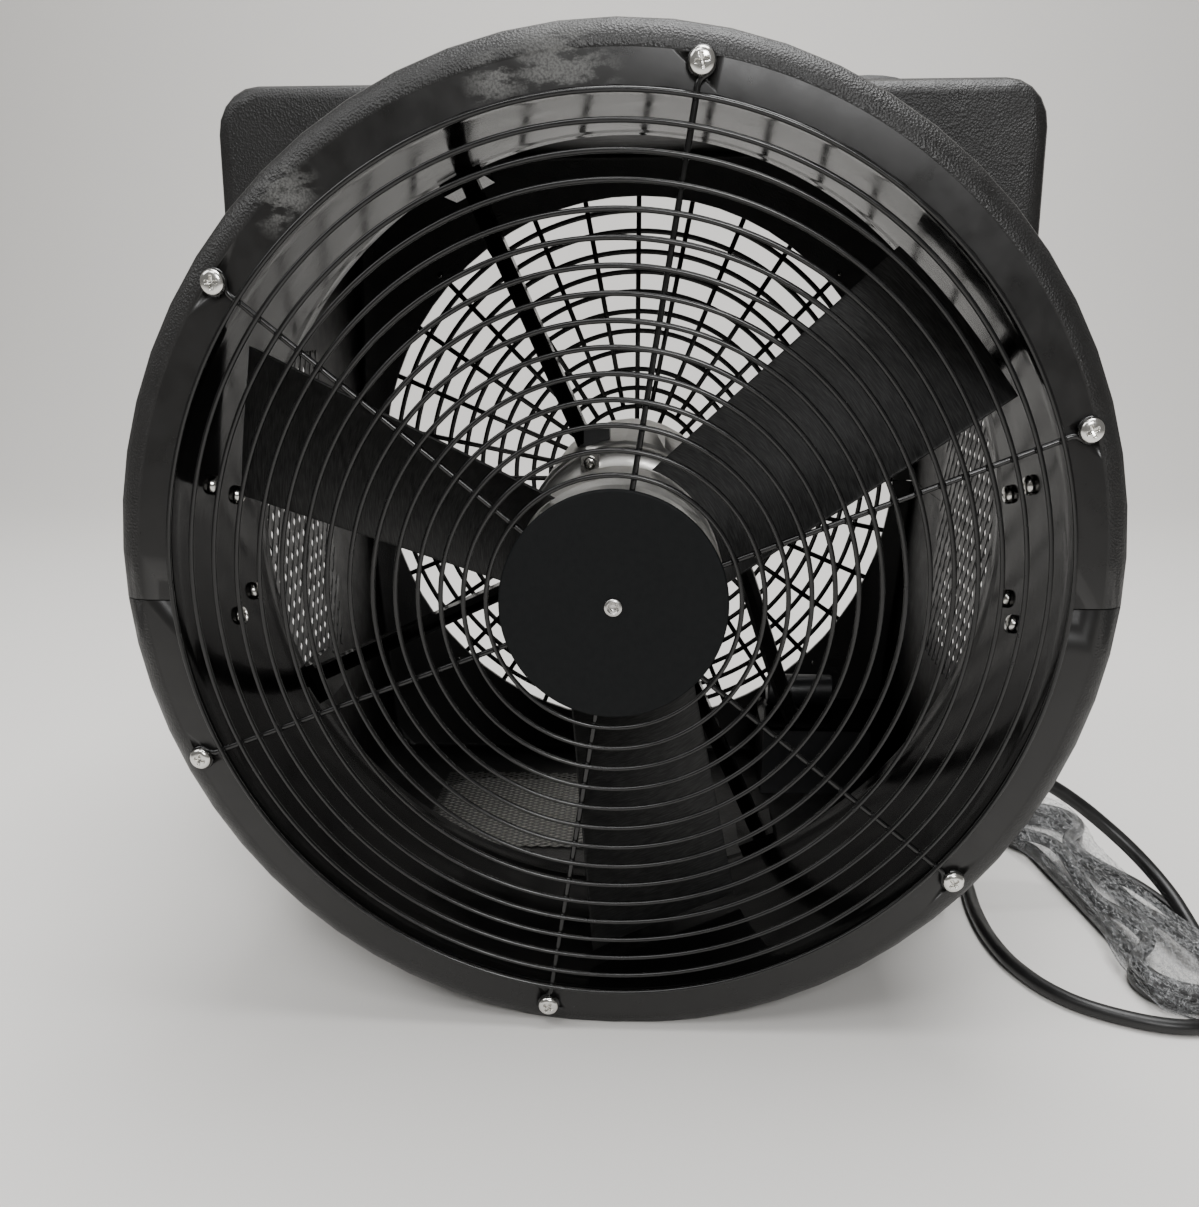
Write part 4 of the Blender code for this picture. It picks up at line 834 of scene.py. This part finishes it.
class BLOWER_OT_screws(bpy.types.Operator):
    """Pan-head screws of the guard, duct and rear grille"""
    bl_idname = "blower.screws"
    bl_label = "Screws"

    def execute(self, context):
        for k in range(6):
            screw_in(f"guard_screw_{k + 1}", (0, -1, 0), f"guard_pan_screw_{k + 1}", twist=0.5 + 1.3 * k,
                     size=(0.0060, 0.0034, 0.0030, 0.0170))
        for k, degrees in enumerate((167.0, 170.0, 187.5, 185.5, 13.0, 10.0, 352.5, 355.0)):
            angle = math.radians(degrees)
            screw_in(f"duct_bolt_{k + 1}", (-math.cos(angle), 0, -math.sin(angle)), f"duct_pan_screw_{k + 1}",
                     twist=0.9 * k, size=(0.0055, 0.0036, 0.0030, 0.0120))
        for k in range(4):
            screw_in(f"rear_screw_{k + 1}", (0, 1, 0), f"rear_pan_screw_{k + 1}", twist=0.4 + k,
                     size=(0.0040, 0.0026, 0.0018, 0.0120))
        screw_in("ground_screw", (0, -1, 0), "ground_pan_screw", twist=0.3,
                 size=(0.0042, 0.0030, 0.0010, 0.0002))
        return {"FINISHED"}


# ---------------------------------------------------------------- housing and duct
class BLOWER_OT_housing(bpy.types.Operator):
    """Housing halves, carry loop, duct and the lip of the rear opening"""
    bl_idname = "blower.housing"
    bl_label = "Housing and duct"

    def execute(self, context):
        for node in ("housing_upper", "housing_lower"):
            refined(node, FINISHES["housing"])
        refined("carry_loop", FINISHES["housing"], sharp=40)
        self.duct()
        return {"FINISHED"}

    def duct(self):
        """Rolled sheet duct with a flared front bead and an outward rear lip."""
        outline = rounded_profile([(0.0063, 0.2288), (0.0063, 0.2300), (0.1636, 0.2300), (0.1636, 0.2362),
                                   (0.1650, 0.2362), (0.1650, 0.2288)], 0.0005, 3)
        inner = np.linspace(0.1640, 0.0070, 40)
        near_bead = 0.0006 * np.exp(-((inner - 0.0125) / 0.0018) ** 2)
        far_bead = 0.0006 * np.exp(-((inner - 0.150) / 0.003) ** 2)
        dented = 0.2288 - near_bead - far_bead
        walls = np.concatenate([outline[:20], np.stack([inner, dented], axis=1)])
        piece("rolled_duct", revolved(walls, 256), FINISHES["enamel"], stands_for=("duct_ring",),
              sharp=40)


# ---------------------------------------------------------------- rotor
class BLOWER_OT_rotor(bpy.types.Operator):
    """Three brushed blades, hub drum and shaft"""
    bl_idname = "blower.rotor"
    bl_label = "Rotor"

    def execute(self, context):
        for k in range(3):
            self.blade(k)
        refined("hub", FINISHES["aluminium"], TURNING, 30)
        shaft_low, shaft_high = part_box("shaft")
        front, rear = shaft_low.y - RING_PLANE, shaft_high.y - RING_PLANE
        piece("keyed_shaft", revolved([(front, 0.0), (front, 0.0068), (front + 0.0010, 0.0079), (rear, 0.0079),
                                       (rear, 0.0)], 48), FINISHES["steel"], TURNING, ("shaft",), 40)
        return {"FINISHED"}

    def blade(self, number):
        """Cambered sheet: chord, pitch and radius vary from root to tip, with rounded edges all round."""
        rows, half = 44, 30
        share = np.linspace(0, 1, rows)[:, None]
        turn = np.linspace(0, 2 * np.pi, 2 * half, endpoint=False)[None, :]
        across = 0.5 * np.sign(np.cos(turn)) * np.abs(np.cos(turn)) ** 0.9
        side = np.sign(np.sin(turn)) * np.clip(np.abs(np.sin(turn)) * 6.0, 0, 1) ** 0.5
        chord, pitch = 0.088 + 0.018 * share, np.radians(42.0 - 9.0 * share)
        sheet = 0.0016 * np.clip(np.minimum(share + 0.02, 1.004 - share) * 90, 0.15, 1)
        bow = 0.09 * chord * (1 - 4 * across ** 2) + side * sheet / 2
        swing = across * chord * np.cos(pitch) - bow * np.sin(pitch)
        depth = 0.066 + across * chord * np.sin(pitch) + bow * np.cos(pitch)
        root = np.sqrt(np.clip(0.0578 ** 2 - swing ** 2, 0, None)) + 0.0003
        tip = np.sqrt(0.2225 ** 2 - swing ** 2)
        out = root + (tip - root) * share
        angle = math.radians(38.0 + 120.0 * number)
        points = np.stack([out * math.cos(angle) - swing * math.sin(angle), RING_PLANE + depth,
                           AXIS_Z + out * math.sin(angle) + swing * math.cos(angle)], axis=-1)
        middle = 0.5 * (points + points[:, (-np.arange(2 * half)) % (2 * half)])
        points = np.concatenate([middle[:1], points, middle[-1:]])
        uv = np.stack([np.broadcast_to(share, (rows, 2 * half)) + 0.37 * number,
                       np.broadcast_to(across + 0.5, (rows, 2 * half))], axis=-1)
        uv = np.concatenate([uv[:1], uv, uv[-1:]]).reshape(-1, 2)
        piece(f"brushed_blade_{number + 1}", (points, grid_faces(rows + 2, 2 * half, round_columns=True)),
              FINISHES["blade"], TURNING, (f"blade_{number + 1}",), 60, uv)


# ---------------------------------------------------------------- motor
class BLOWER_OT_motor(bpy.types.Operator):
    """Motor shell, bolts on the arms, terminal, control box and hub nut"""
    bl_idname = "blower.motor"
    bl_label = "Motor and arms"

    def execute(self, context):
        low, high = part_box("motor_front_bell")
        front, rear = low.y - RING_PLANE, high.y - RING_PLANE
        bell = [(front, 0.0085), (front, 0.024), (front + 0.0015, 0.029), (front + 0.0030, 0.040)]
        arc = np.linspace(0, np.pi / 2, 9)
        bell += list(zip(front + 0.0030 + 0.011 * (1 - np.cos(arc)), 0.0510 + 0.011 * np.sin(arc)))
        bell += [(rear - 0.0050, 0.0620), (rear - 0.0042, 0.0612), (rear - 0.0034, 0.0620), (rear, 0.0620),
                 (rear, 0.0085)]
        piece("motor_bell", revolved(bell, 144), FINISHES["aluminium"], stands_for=("motor_front_bell",),
              sharp=32)
        kept = {"motor_body": "aluminium", "motor_rear_bell": "aluminium", "terminal_block": "nylon",
                "ground_tab": "steel", "control_box": "nylon", "control_lid": "enamel",
                "run_capacitor": "nylon"}
        for node, finish in kept.items():
            refined(node, FINISHES[finish], FIXED, 30)
        refined("hub_nut", FINISHES["zinc"], TURNING, 25)
        self.arm_hardware()
        return {"FINISHED"}

    def arm_hardware(self):
        """Bolt heads and washers on each arm's foot, facing the rear."""
        shapes = []
        for degrees in (24.5, 114.5, 204.5, 294.5):
            angle = math.radians(degrees)
            out = np.array((math.cos(angle), 0.0, math.sin(angle)))
            across = np.array((-out[2], 0.0, out[0]))
            for aside in (-0.0078, 0.0078):
                base = np.array((0.0, RING_PLANE + 0.2085, AXIS_Z)) + out * 0.2300 + across * aside
                washer_and_nut = [(0.0, 0.0046), (0.0008, 0.0046), (0.0009, 0.0036), (0.0034, 0.0036),
                                  (0.0040, 0.0031)]
                hexagon = turned(washer_and_nut, 6)
                shapes.append(placed(hexagon, base, (0, 1, 0), tuple(out)))
        piece("arm_bolts", gathered(shapes), FINISHES["zinc"], sharp=25)


# ---------------------------------------------------------------- rear grille and vents
class BLOWER_OT_grille(bpy.types.Operator):
    """Rear grille of round rings on flat radial bars"""
    bl_idname = "blower.grille"
    bl_label = "Rear grille"

    def execute(self, context):
        sizes = settings("blower_sizes")
        low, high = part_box("rear_guard")
        front, back = low.y - RING_PLANE, high.y - RING_PLANE
        middle, shapes = (front + back) / 2, []
        for k in range(11):
            radius = 0.060 + k * sizes.rear_pitch
            section = rounded_profile([(front + 0.0002, radius - 0.0020), (front + 0.0002, radius + 0.0020),
                                       (back - 0.0002, radius + 0.0020), (back - 0.0002, radius - 0.0020)], 0.0012, 3)
            shapes.append(revolved(section, 160))
        shapes.append(revolved(rounded_profile([(front, 0.2262), (front, 0.2328),
                                                (back, 0.2328), (back, 0.2262)],
                                               0.0012, 3), 192))
        shapes.append(revolved([(front, 0.0), (front, 0.0335), (front + 0.0008, 0.0340),
                                (back - 0.0008, 0.0340),
                                (back, 0.0330), (back, 0.020), (back - 0.0008, 0.0185), (back - 0.0008, 0.0)], 96,
                               closed=False))
        for k in range(sizes.rear_bars):
            angle = math.pi / 2 + 2 * math.pi * k / sizes.rear_bars
            start = 0.0330 if k % 2 == 0 else 0.0600
            out = (math.cos(angle), 0.0, math.sin(angle))
            shapes.append(placed(slab((-0.0020, -(back - front) / 2 + 0.0001, start),
                                      (0.0020, (back - front) / 2 - 0.0001, 0.2275), 0.0008),
                                 (0.0, RING_PLANE + middle, AXIS_Z), out, (-out[2], 0.0, out[0])))
        piece("rear_grille", gathered(shapes), FINISHES["wire"], stands_for=("rear_guard",),
              sharp=40)
        return {"FINISHED"}


def diamond_mesh(half_a, half_b, pitch, width, thick, lean=1.04):
    """Two sets of flat strands at plus and minus a lean in a plane: local (a, b, off)."""
    shapes = []
    for sign in (-1, 1):
        run = np.array((math.cos(lean), sign * math.sin(lean)))
        across = np.array((-run[1], run[0]))
        span = abs(across[0]) * half_a + abs(across[1]) * half_b
        for offset in np.arange(-span + pitch / 2, span, pitch):
            base = across * offset
            ends = []
            for axis, half in ((0, half_a), (1, half_b)):
                limits = sorted(((-half - base[axis]) / run[axis], (half - base[axis]) / run[axis]))
                ends.append(limits)
            start, stop = max(e[0] for e in ends), min(e[1] for e in ends)
            if stop - start < pitch:
                continue
            a, b = base + run * start, base + run * stop
            lift = sign * thick * 0.25
            quad = np.array([(-1, -1), (1, -1), (1, 1), (-1, 1)], float) * (width / 2, thick / 2)
            ring = [np.concatenate([(p + across * q[0]), [q[1] + lift]]) for p in (a, b) for q in quad]
            faces = [(0, 1, 5, 4), (1, 2, 6, 5), (2, 3, 7, 6), (3, 0, 4, 7), (3, 2, 1, 0), (4, 5, 6, 7)]
            shapes.append((np.array(ring), np.array(faces)))
    return gathered(shapes)


class BLOWER_OT_vents(bpy.types.Operator):
    """Diamond mesh behind the side and floor vents"""
    bl_idname = "blower.vents"
    bl_label = "Vent meshes"

    def execute(self, context):
        pitch = settings("blower_sizes").mesh_pitch
        for node, finish, width in (("vent_mesh_right", "mesh", 0.0060), ("vent_mesh_left", "mesh", 0.0060),
                                    ("vent_mesh_floor", "bright_mesh", 0.0011)):
            low, high = (np.array(v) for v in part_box(node))
            centre, half = (low + high) / 2, (high - low) / 2
            if node.endswith("floor"):
                shape, faces = diamond_mesh(half[0] - 0.001, half[1] - 0.001, pitch * 0.46,
                                            width, 0.0006, 0.55)
                points = centre + shape[:, (0, 1, 2)]
            else:
                shape, faces = diamond_mesh(half[1] - 0.001, half[2] - 0.001, pitch, width, 0.0008)
                points = centre + shape[:, (2, 0, 1)]
            piece(node.replace("mesh", "lattice"), (points, faces), FINISHES[finish], stands_for=(node,),
                  sharp=30)
        return {"FINISHED"}


# ---------------------------------------------------------------- stage
class BLOWER_OT_stage(bpy.types.Operator):
    """Pale floor and backdrop, soft light and the camera"""
    bl_idname = "blower.stage"
    bl_label = "Stage"

    def execute(self, context):
        stage = settings("stage_settings")
        scene = bpy.context.scene
        f = Finish("pale_floor", tuple(stage.floor), 0.85)
        f.roughness(f.ranged(f.noise(3.0, 3.0), 0.3, 0.7, 0.78, 0.92))
        reach = np.concatenate([np.linspace(-4.0, 1.6, 12),
                                1.6 + 1.2 * np.sin(np.linspace(0, np.pi / 2, 16)[1:]),
                                np.full(5, 2.8)])
        height = np.concatenate([np.zeros(12), 1.2 - 1.2 * np.cos(np.linspace(0, np.pi / 2, 16)[1:]),
                                 np.linspace(1.6, 4.0, 5)])
        x = np.linspace(-4.0, 4.0, 9)
        grid = (len(reach), 9)
        points = np.stack([np.broadcast_to(x[None, :], grid), np.broadcast_to(reach[:, None], grid),
                           np.broadcast_to(height[:, None], grid)], axis=-1)
        mesh = bpy.data.meshes.new("stage_floor")
        mesh.from_pydata(points.reshape(-1, 3).tolist(), [], grid_faces(len(reach), 9).tolist())
        mesh.shade_smooth()
        mesh.materials.append(f.material)
        floor = bpy.data.objects.new("stage_floor", mesh)
        scene.collection.objects.link(floor)
        for name, place, aim, size, power in (
                ("overhead_softbox", (0.3, 0.0, 2.2), (0, 0, 0.2), 1.1, stage.light * 2.6),
                ("front_key", (0.35, -1.9, 1.25), (0, 0, 0.25), 0.5, stage.light * 1.15),
                ("front_softbox", (-0.5, -1.6, 2.6), (0, 0, 0.2), 0.9, stage.light * 1.1),
                ("floor_wash", (-1.6, -0.6, 2.0), (-0.5, -0.3, 0.0), 1.2, stage.light * 1.1),
                ("backdrop_light", (0.0, 0.9, 2.4), (0, 2.4, 0.6), 1.6, stage.light * 2.4)):
            lamp = bpy.data.lights.new(name, "AREA")
            lamp.energy, lamp.size = power, size
            item = bpy.data.objects.new(name, lamp)
            item.location = place
            item.rotation_euler = (Vector(aim) - Vector(place)).to_track_quat("-Z", "Y").to_euler()
            scene.collection.objects.link(item)
        world = bpy.data.worlds.new("soft_room")
        world.use_nodes = True
        world.node_tree.nodes["Background"].inputs["Color"].default_value = (1.0, 0.98, 0.95, 1)
        world.node_tree.nodes["Background"].inputs["Strength"].default_value = 0.22
        scene.world = world
        lens = bpy.data.cameras.new("view_camera")
        lens.sensor_width, lens.lens, lens.shift_y = 36.0, stage.lens, stage.rise
        camera = bpy.data.objects.new("view_camera", lens)
        right = Vector((0.99853875, 0.05396857, -0.00278529))
        up = Vector((-0.01836538, 0.38737106, 0.92174095))
        back = right.cross(up)
        turn = Matrix((right, up, back)).transposed().to_4x4()
        camera.matrix_world = Matrix.Translation(stage.camera_place) @ turn
        scene.collection.objects.link(camera)
        scene.camera = camera
        return {"FINISHED"}


# ---------------------------------------------------------------- panel and registration
STEPS = (BLOWER_OT_finishes, BLOWER_OT_stage, BLOWER_OT_cord, BLOWER_OT_guard, BLOWER_OT_screws,
         BLOWER_OT_housing,
         BLOWER_OT_rotor, BLOWER_OT_motor, BLOWER_OT_grille, BLOWER_OT_vents)
GROUPS = {"blower_sizes": BlowerSizes, "blower_colours": BlowerColours, "stage_settings": StageSettings}


class BLOWER_PT_panel(bpy.types.Panel):
    """Lists the blower's settings and steps"""
    bl_idname = "BLOWER_PT_panel"
    bl_label = "Axial Blower"
    bl_space_type = "VIEW_3D"
    bl_region_type = "UI"
    bl_category = "Blower"

    def draw(self, context):
        for name, group in GROUPS.items():
            box = self.layout.box()
            for key in group.__annotations__:
                box.prop(getattr(context.scene, name), key)
        for step in STEPS:
            self.layout.operator(step.bl_idname)


def register():
    for kind in (*GROUPS.values(), *STEPS, BLOWER_PT_panel):
        bpy.utils.register_class(kind)
    for name, group in GROUPS.items():
        setattr(bpy.types.Scene, name, PointerProperty(type=group))


def unregister():
    for name in GROUPS:
        delattr(bpy.types.Scene, name)
    for kind in reversed((*GROUPS.values(), *STEPS, BLOWER_PT_panel)):
        bpy.utils.unregister_class(kind)


def main():
    register()
    for step in STEPS:
        family, action = step.bl_idname.split(".")
        getattr(getattr(bpy.ops, family), action)()


if __name__ == "__main__":
    main()
